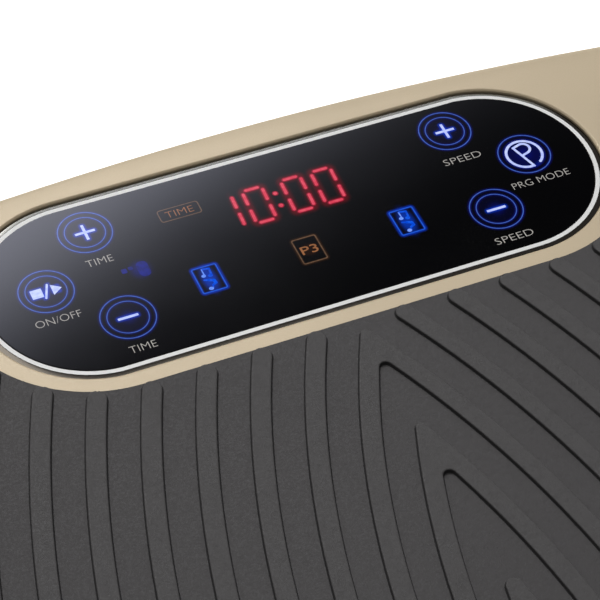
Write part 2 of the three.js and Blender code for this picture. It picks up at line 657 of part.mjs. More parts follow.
function powerInlet() {
  const front = PAD_Y + GAP + 2;
  const body = join(
    block(-22, 22, PAD_Y + GAP, front, -12, 12),
    block(-14, 14, 134, PAD_Y + 1, -9.5, 9.5),
  );
  const recess = block(-12, 12, front - 17, front + 1, -7.8, 7.8);
  const pins = [[-7, -2], [0, 2], [7, -2]].map(([x, z]) => (
    block(x - 1, x + 1, front - 18, front - 5.5, z - 2, z + 2)
  ));
  return join(cut(body, recess), ...pins);
}

function switchBezel() {
  const front = PAD_Y + GAP + 1.5;
  const body = join(
    block(-13, 13, PAD_Y + GAP, front, -9.5, 9.5),
    block(-11, 11, 142, PAD_Y + 1, -7.5, 7.5),
  );
  return cut(body, block(-9, 9, 150, front + 1, -6, 6));
}

// The rocker's side view, in Y (outward) and Z, extruded across its width.
function rockerBody() {
  const outline = [[-4, -2.5], [1, -5], [5.8, -5], [4.9, 0], [5.8, 5], [1, 5], [-4, 2.5]];
  const shape = new THREE.Shape(outline.map(([y, z]) => new THREE.Vector2(y, z)));
  const geometry = new THREE.ExtrudeGeometry(shape, { depth: 17.2, bevelEnabled: false });
  geometry.translate(0, 0, -8.6);
  const toRow = new THREE.Matrix4().makeBasis(
    new THREE.Vector3(0, 1, 0),
    new THREE.Vector3(0, 0, 1),
    new THREE.Vector3(1, 0, 0),
  );
  geometry.applyMatrix4(toRow);
  return solid(geometry);
}

piece(part, 'power_inlet', powerInlet(), FINISH.black).position.set(INLET_X, 0, SOCKET_Z);
piece(part, 'switch_bezel', switchBezel(), FINISH.black).position.set(SWITCH_X, 0, SOCKET_Z);
const rocker = piece(part, 'switch_rocker', rockerBody(), FINISH.black);
rocker.position.set(SWITCH_X, SWITCH_Y, SOCKET_Z);
rocker.rotation.x = THREE.MathUtils.degToRad(SWITCH_TILT);

export default part;
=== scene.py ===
"""A see-saw vibration plate: champagne deck, ribbed standing mat, lit touch panel and black base.

Shapes are drawn in millimetres in the CAD model's frame and turned into metres as each piece is made.
"""

from contextlib import contextmanager
from math import acos, atan2, cos, degrees, hypot, pi, radians, sin, sqrt, tan

import bmesh
import bpy
from mathutils import Matrix, Vector


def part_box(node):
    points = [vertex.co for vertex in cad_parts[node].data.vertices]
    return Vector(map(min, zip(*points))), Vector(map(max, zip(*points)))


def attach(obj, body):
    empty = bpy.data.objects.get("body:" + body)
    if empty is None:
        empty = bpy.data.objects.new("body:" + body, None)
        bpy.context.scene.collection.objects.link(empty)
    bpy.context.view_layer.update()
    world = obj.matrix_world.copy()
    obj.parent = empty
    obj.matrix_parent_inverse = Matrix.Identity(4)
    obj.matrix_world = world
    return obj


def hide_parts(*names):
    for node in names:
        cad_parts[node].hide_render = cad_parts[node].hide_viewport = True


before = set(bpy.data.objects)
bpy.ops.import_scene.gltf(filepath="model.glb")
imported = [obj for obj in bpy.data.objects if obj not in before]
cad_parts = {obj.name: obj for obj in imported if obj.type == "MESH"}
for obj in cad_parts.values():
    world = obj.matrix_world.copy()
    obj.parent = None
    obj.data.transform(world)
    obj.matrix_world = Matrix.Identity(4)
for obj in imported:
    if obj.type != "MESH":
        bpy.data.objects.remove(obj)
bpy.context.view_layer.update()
MM = 0.001


def node_box(node):
    """Lowest and highest corner of a CAD node, in millimetres."""
    low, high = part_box(node)
    return low / MM, high / MM


def node_middle(node):
    return [(low + high) / 2 for low, high in zip(*node_box(node))]


DECK_LOW, DECK_HIGH = node_box("top_housing")
MAT_LOW, MAT_HIGH = node_box("standing_mat")
GLASS_LOW, GLASS_HIGH = node_box("panel_glass")
RING_LOW, RING_HIGH = node_box("bezel_ring")
BASE_LOW, BASE_HIGH = node_box("base_shell")

# Deck outline: four bowed edges and four corner arcs
HALF_X = DECK_HIGH.x
HALF_Y = DECK_HIGH.y
DECK_Z = DECK_HIGH.z
SKIRT_Z = DECK_LOW.z
LONG_EDGE_R = 740
SIDE_EDGE_R = 520
LONG_Y = HALF_Y - LONG_EDGE_R  # centre of the back edge's arc
SIDE_X = HALF_X - SIDE_EDGE_R  # centre of the right edge's arc
CORNER_R = 62
WALL = 3
EDGE_R = 2.5
MAT_INSET = 13

# Touch panel: a long oval
PANEL_Y = (GLASS_LOW.y + GLASS_HIGH.y) / 2
PANEL_HALF = 47
GLASS_R = GLASS_HIGH.y - PANEL_Y + 0.18  # the glass runs right up to its ring
GLASS_TOP = GLASS_HIGH.z
RING_R = RING_HIGH.y - PANEL_Y
RING_IN_R = GLASS_R + 0.06
RING_TOP = RING_HIGH.z - 0.3  # the glass stands a little proud of its ring
POCKET_Z = GLASS_LOW.z - 0.3
KEY_Y = PANEL_Y + 1.5  # the line that the two outer keys' middles lie near
BAY_R = 31
HORN_R = 15
SEAT_R = 28.5  # collar under the pocket
WINDOW_R = 20.5
BOSS_R = 6  # what the deck screws bite into
PILOT_R = 2.3

# Mat ribs: each is a band between two pointed ovals, and each oval is where two discs overlap
SPREAD = 197.7  # the discs' centres, either side of the middle
FIRST_RIB_R = 202.08
RIB_STEP = 10.915
RIB_WIDTH = 4.13
RIB_COUNT = 24
RIB_TIP_R = 1.2
RIB_THROAT_R = 1.4
LENS_TIP_R = 1.8  # the innermost rib is blunter
LENS_GROWTH = 0.45
RIB_OVERHANG = -0.35  # how far a rib's round end passes the mat's border
LEG_CLEAR = 3.6  # how near the middle line a leg that never meets its twin may come
SHORTEST_LEG = 8
SHEET_TOP = MAT_HIGH.z - 0.85

SOLID_SCALE = Matrix.Scale(MM, 4)
CREASE = 35  # edges sharper than this many degrees shade as edges
END_STEPS = 5  # sections round a rib's end
TIP_STEPS = 4  # sections round half a rib's tip


# ---- outlines

def arc(cx, cy, radius, start, stop, steps, last=0):
    """Points along an arc; its last point is left out unless last is 1."""
    turns = [start + (stop - start) * i / steps for i in range(steps + last)]
    return [(cx + radius * cos(t), cy + radius * sin(t)) for t in turns]


def circle(cx, cy, radius, steps):
    return arc(cx, cy, radius, 0, 2 * pi, steps)


def corner_arc():
    """The centre of the right back corner's arc, and the directions in which it meets the bowed edges."""
    long_reach = LONG_EDGE_R - CORNER_R
    side_reach = SIDE_EDGE_R - CORNER_R
    apart = hypot(SIDE_X, LONG_Y)
    along = (long_reach ** 2 - side_reach ** 2 + apart ** 2) / (2 * apart)
    off = sqrt(long_reach ** 2 - along ** 2)
    ux, uy = SIDE_X / apart, -LONG_Y / apart
    x, y = along * ux + off * uy, LONG_Y + along * uy - off * ux
    return x, y, atan2(y - LONG_Y, x), atan2(y, x - SIDE_X)


CORNER_X, CORNER_Y, LONG_TURN, SIDE_TURN = corner_arc()


def plate_outline(inset):
    """The deck's outline moved in by inset, anticlockwise."""
    corner_r = CORNER_R - inset
    half = [
        *arc(SIDE_X, 0, SIDE_EDGE_R - inset, -SIDE_TURN, SIDE_TURN, 24),
        *arc(CORNER_X, CORNER_Y, corner_r, SIDE_TURN, LONG_TURN, 16),
        *arc(0, LONG_Y, LONG_EDGE_R - inset, LONG_TURN, pi - LONG_TURN, 48),
        *arc(-CORNER_X, CORNER_Y, corner_r, pi - LONG_TURN, pi - SIDE_TURN, 16),
    ]
    return half + [(-x, -y) for x, y in half]


def oval_outline(radius):
    """A long oval round the panel's middle, anticlockwise."""
    return [
        *arc(PANEL_HALF, PANEL_Y, radius, -pi / 2, pi / 2, 40),
        *arc(-PANEL_HALF, PANEL_Y, radius, pi / 2, pi * 1.5, 40),
    ]


BAY_X = PANEL_HALF + BAY_R  # the bay's side
HORN_X = BAY_X + HORN_R  # middle of the mat's rounded horn beside the panel
HORN_Y = HALF_Y - MAT_INSET - HORN_X ** 2 / (2 * LONG_EDGE_R) - HORN_R


def bay_outline():
    """The bay that the mat leaves round the panel, open to the back edge, clockwise from the back right."""
    beyond = HALF_Y + 1
    return [
        (HORN_X, beyond),
        *reversed(arc(HORN_X, HORN_Y, HORN_R, pi, pi / 2, 12)),
        *reversed(arc(PANEL_HALF, PANEL_Y, BAY_R, -pi / 2, 0, 24)),
        (-PANEL_HALF, PANEL_Y - BAY_R),
        *reversed(arc(-PANEL_HALF, PANEL_Y, BAY_R, -pi, -pi / 2, 24)),
        (-BAY_X, HORN_Y),
        *reversed(arc(-HORN_X, HORN_Y, HORN_R, pi / 2, 0, 12)),
        (-HORN_X, beyond),
    ]


def plate_depth(x, y):
    """How far a point lies inside the deck's outline."""
    x, y = abs(x), abs(y)
    across, up = x - CORNER_X, y - CORNER_Y
    if across > 0 and up > 0 and SIDE_TURN < atan2(up, across) < LONG_TURN:
        return CORNER_R - hypot(across, up)
    return min(LONG_EDGE_R - hypot(x, y - LONG_Y), SIDE_EDGE_R - hypot(x - SIDE_X, y))


def mat_depth(x, y):
    """How far a point lies inside the mat's border."""
    x = abs(x)
    depth = plate_depth(x, y) - MAT_INSET
    if y <= PANEL_Y:
        return min(depth, hypot(max(x - PANEL_HALF, 0), y - PANEL_Y) - BAY_R)
    if x < HORN_X and y > HORN_Y:
        return min(depth, HORN_R - hypot(x - HORN_X, y - HORN_Y))
    return min(depth, x - BAY_X)


# ---- meshes

@contextmanager
def editing(mesh, *sources):
    """A bmesh filled from the mesh, or from any sources, and written back to the mesh."""
    bm = bmesh.new()
    for source in sources or [mesh]:
        bm.from_mesh(source)
    yield bm
    bm.to_mesh(mesh)
    bm.free()


def loft(rings, closed=False):
    """A solid through rings of equally many points, capped at both ends unless it closes on itself."""
    mesh = bpy.data.meshes.new("solid")
    with editing(mesh) as bm:
        grid = [[bm.verts.new(point) for point in ring] for ring in rings]
        steps = list(zip(grid, grid[1:]))
        if closed:
            steps.append((grid[-1], grid[0]))
        else:
            bm.faces.new(list(reversed(grid[0])))
            bm.faces.new(grid[-1])
        for low, high in steps:
            for i, vert in enumerate(low):
                j = (i + 1) % len(low)
                bm.faces.new((vert, low[j], high[j], high[i]))
        bmesh.ops.recalc_face_normals(bm, faces=bm.faces)
    return mesh


def lofted(outline, steps):
    """A solid whose section at each height is an outline function at an inset or radius."""
    return loft([[(x, y, z) for x, y in outline(size)] for z, size in steps])


def prism(points, low, high):
    return loft([[(x, y, z) for x, y in points] for z in (low, high)])


def block(low, high):
    """A box between two corners, used only as a cutter or joined into a larger moulding."""
    corners = [(low[0], low[1]), (high[0], low[1]), (high[0], high[1]), (low[0], high[1])]
    return prism(corners, low[2], high[2])


def turned(profile, cx=0, cy=0, steps=48):
    """A closed turned solid: profile is a closed loop of (radius, height) about a vertical axis."""
    rings = []
    for i in range(steps):
        turn = 2 * pi * i / steps
        rings.append([(cx + r * cos(turn), cy + r * sin(turn), z) for r, z in profile])
    return loft(rings, closed=True)


def merge(meshes):
    """One mesh from several that don't overlap."""
    merged = bpy.data.meshes.new("merged")
    with editing(merged, *meshes):
        pass
    return merged


def new_object(name, data):
    obj = bpy.data.objects.new(name, data)
    bpy.context.scene.collection.objects.link(obj)
    return obj


def evaluated_mesh(obj, *helpers):
    """What an object's modifiers or text make, with the object and its helpers removed."""
    depsgraph = bpy.context.evaluated_depsgraph_get()
    result = bpy.data.meshes.new_from_object(obj.evaluated_get(depsgraph))
    for used in (obj, *helpers):
        bpy.data.objects.remove(used)
    return result


def combine(mesh, operation, *tools):
    """A mesh joined with (UNION) or cut by (DIFFERENCE) closed meshes."""
    base = new_object("base", mesh)
    helpers = [new_object("tool", tool) for tool in tools]
    for helper in helpers:
        modifier = base.modifiers.new("combine", "BOOLEAN")
        modifier.object = helper
        modifier.operation = operation
        modifier.solver = "MANIFOLD"
    return evaluated_mesh(base, *helpers)


def bevelled(mesh, width, segments=2, angle=30):
    """The mesh with every edge sharper than angle rounded."""
    with editing(mesh) as bm:
        bmesh.ops.dissolve_limit(bm, angle_limit=radians(1), verts=bm.verts, edges=bm.edges)
        sharp = [e for e in bm.edges if e.is_manifold and e.calc_face_angle() > radians(angle)]
        bmesh.ops.bevel(
            bm, geom=sharp, offset=width, segments=segments, profile=0.5, affect="EDGES", clamp_overlap=True
        )
    return mesh


def piece(name, mesh, material, body, replaces=()):
    """Turns a mesh in millimetres into a finished piece in metres that rides on a CAD body."""
    mesh.transform(SOLID_SCALE)
    mesh.name = name
    mesh.shade_smooth()
    mesh.set_sharp_from_angle(angle=radians(CREASE))
    mesh.materials.clear()
    mesh.materials.append(material)
    obj = new_object(name, mesh)
    normals = obj.modifiers.new("even shading", "WEIGHTED_NORMAL")
    normals.keep_sharp = True
    normals.weight = 100
    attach(obj, body)
    if replaces:
        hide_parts(*replaces)
    return obj


# ---- materials

class Nodes:
    """Short ways to add nodes to a node tree."""

    def __init__(self, tree):
        self.nodes = tree.nodes
        self.links = tree.links

    def put(self, socket, value):
        """Links an output to an input, or sets the input's value."""
        if isinstance(value, bpy.types.NodeSocket):
            self.links.new(value, socket)
        else:
            socket.default_value = value

    def add(self, kind, inputs=(), **settings):
        """A new node with its settings made and its inputs linked or set."""
        node = self.nodes.new("ShaderNode" + kind)
        for name, value in settings.items():
            setattr(node, name, value)
        for name, value in dict(inputs).items():
            self.put(node.inputs[name], value)
        return node

    def math(self, operation, *values):
        return self.add("Math", dict(enumerate(values)), operation=operation).outputs["Value"]

    def ramp(self, fac, low, high, start=0.0, stop=1.0):
        """A number mapped from low..high to start..stop, clamped and smooth."""
        ends = {"From Min": low, "From Max": high, "To Min": start, "To Max": stop}
        node = self.add("MapRange", {"Value": fac, **ends}, interpolation_type="SMOOTHSTEP")
        return node.outputs["Result"]

    def mix(self, fac, first, second):
        node = self.add("Mix", {"Factor": fac}, data_type="RGBA")
        sockets = [s for s in (*node.inputs, *node.outputs) if s.type == "RGBA"]
        for socket, color in zip(sockets, (first, second)):
            self.put(socket, color if isinstance(color, bpy.types.NodeSocket) else (*color, 1.0))
        return sockets[2]


class Finish(Nodes):
    """A node material round one Principled shader. Object coordinates are in metres."""

    def __init__(self, name, roughness, metallic=0.0):
        self.material = bpy.data.materials.new(name)
        self.material.use_nodes = True
        super().__init__(self.material.node_tree)
        self.shader = self.nodes["Principled BSDF"].inputs
        self.shader["Roughness"].default_value = roughness
        self.shader["Metallic"].default_value = metallic
        self.place = self.add("TexCoord").outputs["Object"]

    def axis(self, name):
        return self.add("SeparateXYZ", {"Vector": self.place}).outputs[name]

    def noise(self, size, detail=3.0, stretch=(1, 1, 1)):
        """Noise whose features are about size millimetres across."""
        place = self.place
        if stretch != (1, 1, 1):
            place = self.add("Mapping", {"Vector": place, "Scale": stretch}).outputs["Vector"]
        node = self.add("TexNoise", {"Scale": 1 / (size * MM), "Detail": detail, "Vector": place})
        return node.outputs["Fac"]

    def color(self, value):
        self.put(self.shader["Base Color"], value)

    def rough(self, value):
        self.put(self.shader["Roughness"], value)

    def emit(self, value, strength=1.0):
        self.put(self.shader["Emission Color"], value)
        self.shader["Emission Strength"].default_value = strength

    def bump(self, height, strength, depth):
        """Relief of depth millimetres."""
        node = self.add("Bump", {"Strength": strength, "Distance": depth * MM, "Height": height})
        self.put(self.shader["Normal"], node.outputs["Normal"])

    def from_middle(self, name, middle, size=1.0):
        """How far along an axis from a middle in millimetres, in units of size millimetres."""
        return self.math("DIVIDE", self.math("SUBTRACT", self.axis(name), middle * MM), size * MM)

    def length(self, x, y):
        return self.math("SQRT", self.math("ADD", self.math("MULTIPLY", x, x), self.math("MULTIPLY", y, y)))

    def ellipse_distance(self, cx, cy, half_x=1.0, half_y=1.0):
        """Distance from a point relative to the key line, each axis divided by its own size."""
        return self.length(self.from_middle("X", cx, half_x), self.from_middle("Y", KEY_Y + cy, half_y))

    def frame_distance(self, cx, cy, half_x, half_y, radius=0.5, slant=0.0):
        """Distance from the outline of a rounded, slanted rectangle about a point, as above."""
        y = self.from_middle("Y", KEY_Y + cy)
        x = self.math("SUBTRACT", self.from_middle("X", cx), self.math("MULTIPLY", y, slant))
        over_x = self.math("SUBTRACT", self.math("ABSOLUTE", x), half_x - radius)
        over_y = self.math("SUBTRACT", self.math("ABSOLUTE", y), half_y - radius)
        corner = self.length(self.math("MAXIMUM", over_x, 0.0), self.math("MAXIMUM", over_y, 0.0))
        within = self.math("MINIMUM", self.math("MAXIMUM", over_x, over_y), 0.0)
        return self.math("ABSOLUTE", self.math("SUBTRACT", self.math("ADD", corner, within), radius))


def shade(color, factor):
    return tuple(min(1.0, channel * factor) for channel in color)


def moulded(name, color, roughness, grain=0.5, relief=0.03, spread=0.08, metallic=0.0):
    """Moulded or painted surface: fine grain, soft cloudy tone and slightly varying gloss."""
    made = Finish(name, roughness, metallic)
    cloud = made.noise(40, 4)
    speck = made.noise(grain, 2)
    tone = made.mix(made.ramp(cloud, 0.35, 0.65), shade(color, 1 - spread), shade(color, 1 + spread))
    made.color(made.mix(made.ramp(speck, 0.3, 0.75, 0, 0.35), tone, shade(color, 1 - 2 * spread)))
    made.rough(made.ramp(speck, 0.25, 0.75, roughness - 0.06, roughness + 0.06))
    made.bump(speck, 0.6, relief)
    return made.material


def brushed(name, color, roughness, stretch):
    """Ground, turned or drawn metal with fine scratches and a few dull patches."""
    made = Finish(name, roughness, 1.0)
    lines = made.noise(1.2, 4, stretch)
    cloud = made.noise(25, 3)
    made.color(made.mix(made.ramp(lines, 0.3, 0.7), shade(color, 0.82), shade(color, 1.05)))
    made.rough(made.ramp(cloud, 0.3, 0.7, roughness - 0.06, roughness + 0.1))
    made.bump(lines, 0.5, 0.01)
    return made.material


def cast(name, color, roughness):
    """Sand-cast iron: pitted grain and uneven tone."""
    made = Finish(name, roughness, 0.8)
    pits = made.add("TexVoronoi", {"Scale": 1 / (1.6 * MM), "Vector": made.place}).outputs["Distance"]
    grain = made.noise(0.9, 4)
    made.color(made.mix(made.ramp(grain, 0.3, 0.7), shade(color, 0.7), shade(color, 1.15)))
    made.rough(made.ramp(pits, 0.0, 0.8, roughness + 0.1, roughness - 0.08))
    made.bump(made.math("ADD", pits, grain), 0.7, 0.12)
    return made.material


def laminate(name, color, line_color, pitch):
    """Circuit board or laminated core: a fine pattern of lines across a coloured ground."""
    made = Finish(name, 0.45)
    scale = 1 / (pitch * MM) / 20
    wave = made.add("TexWave", {"Scale": scale, "Distortion": 1.5, "Vector": made.place})
    cloud = made.noise(6, 3)
    stripes = made.math("MULTIPLY", made.ramp(wave.outputs["Fac"], 0.6, 0.8), made.ramp(cloud, 0.4, 0.6))
    made.color(made.mix(stripes, color, line_color))
    made.bump(stripes, 0.5, 0.05)
    return made.material


GOLD = moulded("gold", (0.51, 0.412, 0.272), 0.45, grain=0.35, relief=0.012, spread=0.025, metallic=0.15)
BLACK = moulded("black", (0.012, 0.012, 0.0125), 0.5, grain=0.55, relief=0.03)
SOCKET = moulded("socket", (0.008, 0.008, 0.0085), 0.32, grain=0.3, relief=0.01)
RUBBER = moulded("rubber", (0.011, 0.011, 0.011), 0.75, grain=0.6, relief=0.05, spread=0.15)
PAINTED = moulded("painted", (0.02, 0.021, 0.023), 0.45, grain=0.8, relief=0.05, metallic=0.2)
LEAD = moulded("lead", (0.016, 0.016, 0.017), 0.5, grain=0.7, relief=0.02)
DIGITS = moulded("digits", (0.02, 0.021, 0.024), 0.35, grain=0.5, relief=0.01)
STEEL = brushed("steel", (0.5, 0.52, 0.54), 0.38, (1, 14, 14))
ZINC = brushed("zinc", (0.66, 0.67, 0.68), 0.3, (14, 1, 14))
ALUMINIUM = brushed("aluminium", (0.62, 0.64, 0.66), 0.35, (10, 1, 10))
CAST = cast("cast", (0.12, 0.125, 0.13), 0.55)
BOARD = laminate("board", (0.012, 0.09, 0.045), (0.03, 0.17, 0.09), 1.2)
CORE = laminate("core", (0.11, 0.035, 0.015), (0.2, 0.07, 0.03), 0.5)


def mat_finish():
    """Dark grey moulded rubber: fine matte grain; the ribs lighten towards their tops, partly wear and
    partly painted light, and their side walls carry painted shade.
    """
    made = Finish("mat", 0.72)
    ground = (0.0425, 0.0392, 0.0402)
    worn_and_lit = (0.053, 0.05, 0.0502)
    cloud = made.noise(60, 4)
    grain = made.noise(0.45, 3)
    speck = made.noise(1.4, 3)
    # Partly wear, partly painted light: the ribs get lighter from their roots towards their tops.
    rib_top_wear_and_light = made.ramp(made.axis("Z"), SHEET_TOP * MM, MAT_HIGH.z * MM)
    tone = made.mix(rib_top_wear_and_light, ground, worn_and_lit)
    tone = made.mix(made.ramp(cloud, 0.3, 0.7, 0, 0.4), tone, shade(worn_and_lit, 1.08))
    tone = made.mix(made.ramp(grain, 0.38, 0.68, 0, 0.45), tone, shade(worn_and_lit, 1.35))
    tone = made.mix(made.ramp(speck, 0.45, 0.7, 0, 0.25), tone, shade(ground, 0.75))
    # Painted shade: the ribs' side walls are darkened from just above their roots to just below their tops.
    painted_wall_shade_foot = made.ramp(made.axis("Z"), (SHEET_TOP + 0.005) * MM, (SHEET_TOP + 0.04) * MM)
    painted_wall_shade_head = made.ramp(made.axis("Z"), (MAT_HIGH.z - 0.35) * MM, (MAT_HIGH.z - 0.06) * MM, 1.0, 0.0)
    made.color(made.mix(made.math("MULTIPLY", painted_wall_shade_foot, painted_wall_shade_head), tone, shade(ground, 0.35)))
    made.rough(made.ramp(grain, 0.3, 0.7, 0.64, 0.82))
    made.bump(made.math("ADD", grain, made.math("MULTIPLY", speck, 0.5)), 0.75, 0.05)
    return made.material


def silver_finish():
    """Silver ring: a satin face on top and a polished slope outside it, whose colour carries a painted
    reflection, dark at the front and light at the back.
    """
    made = Finish("silver", 0.3)
    lines = made.noise(0.5, 3, (1, 6, 6))
    polished = made.ramp(made.axis("Z"), (RING_TOP - 0.012) * MM, (RING_TOP - 0.004) * MM, 1.0, 0.0)
    satin = made.mix(made.ramp(lines, 0.3, 0.7), (0.77, 0.77, 0.755), (0.81, 0.81, 0.8))
    # Painted reflection: the polished slope's colour runs from dark at the front to light at the back.
    back = made.ramp(made.axis("Y"), (PANEL_Y + 8) * MM, (PANEL_Y + 20) * MM)
    slope = made.mix(back, (0.045, 0.04, 0.034), (0.33, 0.33, 0.31))
    made.color(made.mix(polished, satin, slope))
    made.put(made.shader["Metallic"], polished)
    made.rough(made.ramp(polished, 0.0, 1.0, 0.45, 0.16))
    made.bump(lines, 0.2, 0.002)
    return made.material


MAT = mat_finish()
SILVER = silver_finish()


# ---- touch panel graphics

KEYS = [(-42.8, 13.5), (-42.8, -12.4), (-56.2, 0.5), (42.8, 13.5), (42.8, -12.4), (56.2, 0.5)]
PLUS_KEYS = (0, 3)
MINUS_KEYS = (1, 4)
START_KEY = 2
PROGRAM_KEY = 5
NOTE_TILES = [(-23.05, -8.6), (23.05, -8.6)]
PROGRAM_TILE = (0.0, -8.6)
DISPLAY_Y = 7.5  # middle of the lit digits
SLANT = tan(radians(3.3))
ONE_X = -9.85
ZEROS = (-4.88, 4.23, 11.45)
COLON_X = -0.375
COLON_R = 0.47
ZERO_REACH = 2.3
ZERO_TOP = 5.0
DIGIT_STROKE = 0.7
TILE = (2.85, 3.72)  # half sizes of a lit tile
TILE_LINE = 0.26
GHOST = (-35.6, -0.8)  # faint mark left of the tiles

TIME_MARK = (-21.75, 11.85)
LEGENDS = [  # text, middle, height and width
    ("TIME", -42.8, 4.6, 1.84, 5.9),
    ("TIME", -42.8, -21.1, 1.84, 5.9),
    ("ON/OFF", -56.4, -7.7, 1.9, 10.0),
    ("SPEED", 42.7, 4.3, 1.84, 9.0),
    ("SPEED", 42.7, -21.3, 1.84, 9.0),
    ("PRG MODE", 56.1, -7.8, 1.84, 13.9),
]

SIGN = (2.25, 0.31)  # half sizes of a minus, and of a plus's bars

# What glows round the keys' symbols: key, middle, half sizes and slant of a box
GLYPH_BOXES = [
    *[(key, 0, 0, *size, 0) for key in PLUS_KEYS for size in (SIGN, SIGN[::-1])],
    *[(key, 0, 0, *SIGN, 0) for key in MINUS_KEYS],
    (START_KEY, -2.05, 0, 1.24, 1.24, 0),
    (START_KEY, 0.1, 0, 0.25, 1.9, 0.37),
    (START_KEY, 2.1, 0, 0.75, 0.9, 0),
]

KEY_OUTER_R = 5.88
KEY_INNER_R = 4.4
P_RING_R = 4.05  # open ring round the letter on the program key
P_STROKE = 0.6
P_HEAD = (-1.58, 2.5)  # where the letter's stem and its upper stroke meet
P_STEM = 6.9
P_BOWL_R = 1.5
P_FLAT = 1.75  # from the stem to where the bowl begins
P_LEAN = radians(17.5)
LINE = 0.22
PRINT_LOW = GLASS_TOP - 0.05
PRINT_HIGH = GLASS_TOP + 0.02

RING_BLUE = (0.045, 0.105, 0.43)
GLYPH_BLUE = (0.42, 0.5, 1.0)
NOTE_BLUE = (0.012, 0.085, 0.56)
NOTE_PALE = (0.1, 0.24, 0.9)
GHOST_BLUE = (0.004, 0.01, 0.22)
LED_RED = (0.66, 0.04, 0.08)
RED_GLOW = (1.0, 0.0, 0.03)
BLUE_GLOW = (0.0, 0.07, 1.0)
DIM_ORANGE = (0.1, 0.056, 0.032)
ORANGE = (0.4, 0.16, 0.065)
LEGEND = (0.38, 0.36, 0.34)


def glass_finish():
    """Black back-printed glass, with the lit marks' glow spread softly in it."""
    made = Finish("glass", 0.035)
    dust = made.noise(0.7, 4)
    cloud = made.noise(30, 3)
    made.color(made.mix(made.ramp(dust, 0.62, 0.8, 0, 0.5), (0.0012, 0.0012, 0.0014), (0.008, 0.008, 0.009)))
    made.rough(made.ramp(cloud, 0.3, 0.7, 0.025, 0.06))
    glow = (0.0, 0.0, 0.0)

    def spread(distance, near, far, level, color):
        """Adds light of a level up to near, dying away quickly towards far."""
        nonlocal glow
        fading = made.math("POWER", made.ramp(distance, near, far, 1, 0), 2.2)
        glow = made.mix(made.math("MULTIPLY", level, fading), glow, color)

    def off_circle(distance, radius):
        return made.math("ABSOLUTE", made.math("SUBTRACT", distance, radius))

    for x, y in KEYS:
        away = made.ellipse_distance(x, y)
        inside = 0.05 if (x, y) == KEYS[PROGRAM_KEY] else 0.012
        spread(away, KEY_OUTER_R - 2.5, KEY_OUTER_R + 0.3, inside, (0.004, 0.02, 1.0))
        for radius in (KEY_OUTER_R, KEY_INNER_R):
            spread(off_circle(away, radius), 0.1, 0.9, 0.09, (0.02, 0.03, 1.0))
        spread(away, 0.4, 3.3, 0.08, (0.01, 0.03, 1.0))
    for key, cx, cy, half_x, half_y, slant in GLYPH_BOXES:
        x, y = KEYS[key]
        band = made.frame_distance(x + cx, y + cy, half_x, half_y, 0.2, slant)
        spread(band, 0.05, 0.95, 0.36, BLUE_GLOW)
    away = made.ellipse_distance(*KEYS[PROGRAM_KEY])
    spread(off_circle(away, P_RING_R), 0.25, 1.0, 0.07, BLUE_GLOW)
    for x, y in NOTE_TILES:
        spread(made.frame_distance(x, y, *TILE), 0.1, 0.85, 0.3, BLUE_GLOW)
        spread(made.ellipse_distance(x, y, 1.5, 3.3), 0.5, 1.9, 0.34, (0.0, 0.085, 1.0))
    x, y = PROGRAM_TILE
    spread(made.frame_distance(x, y, *TILE), 0.1, 0.8, 0.02, (1.0, 0.4, 0.12))
    spread(made.ellipse_distance(x, y, 2.5, 1.9), 0.6, 1.3, 0.012, (1.0, 0.3, 0.05))
    x, y = GHOST
    spread(made.ellipse_distance(x, y, 3.0, 3.2), 0.3, 1.3, 0.09, (0.005, 0.03, 1.0))
    for x in ZEROS:
        band = made.frame_distance(x, DISPLAY_Y, ZERO_REACH, ZERO_TOP, 0.6, SLANT)
        spread(band, 0.2, 2.1, 0.085, RED_GLOW)
    spread(made.ellipse_distance(ONE_X, DISPLAY_Y, 1.0, 4.9), 0.3, 1.7, 0.07, RED_GLOW)
    made.emit(glow)
    return made.material


def lit(name, color, core):
    """A lit mark behind the glass: glossy face, colour glowing unevenly between color and core."""
    made = Finish(name, 0.05)
    cloud = made.noise(1.1, 2)
    made.color(made.mix(cloud, shade(color, 0.02), shade(core, 0.03)))
    made.emit(made.mix(made.ramp(cloud, 0.3, 0.7), color, core))
    return made.material


def bar(x0, y0, x1, y1, width, steps=6):
    """Outline of a straight stroke with round ends."""
    turn = atan2(y1 - y0, x1 - x0)
    radius = width / 2
    return [
        *arc(x1, y1, radius, turn - pi / 2, turn + pi / 2, steps),
        *arc(x0, y0, radius, turn + pi / 2, turn + pi * 1.5, steps),
    ]


def rounded_box(cx, cy, half_x, half_y, radius):
    points = []
    for sx, sy, turn in ((1, -1, -90), (1, 1, 0), (-1, 1, 90), (-1, -1, 180)):
        x, y = cx + sx * (half_x - radius), cy + sy * (half_y - radius)
        points += arc(x, y, radius, radians(turn), radians(turn + 90), 5, last=1)
    return points


def printed(points, at=(0, 0), high=None):
    """A thin closed print from an outline given relative to the key line."""
    return prism([(x + at[0], y + at[1] + KEY_Y) for x, y in points], PRINT_LOW, high or PRINT_HIGH)


def framed(outer, inner):
    """A thin closed frame between two outlines of equally many points."""
    rings = []
    for (ox, oy), (ix, iy) in zip(outer, inner):
        oy, iy = oy + KEY_Y, iy + KEY_Y
        rings.append([(ox, oy, PRINT_LOW), (ox, oy, PRINT_HIGH), (ix, iy, PRINT_HIGH), (ix, iy, PRINT_LOW)])
    return loft(rings, closed=True)


def circle_line(cx, cy, radius, width):
    return framed(circle(cx, cy, radius + width / 2, 72), circle(cx, cy, radius - width / 2, 72))


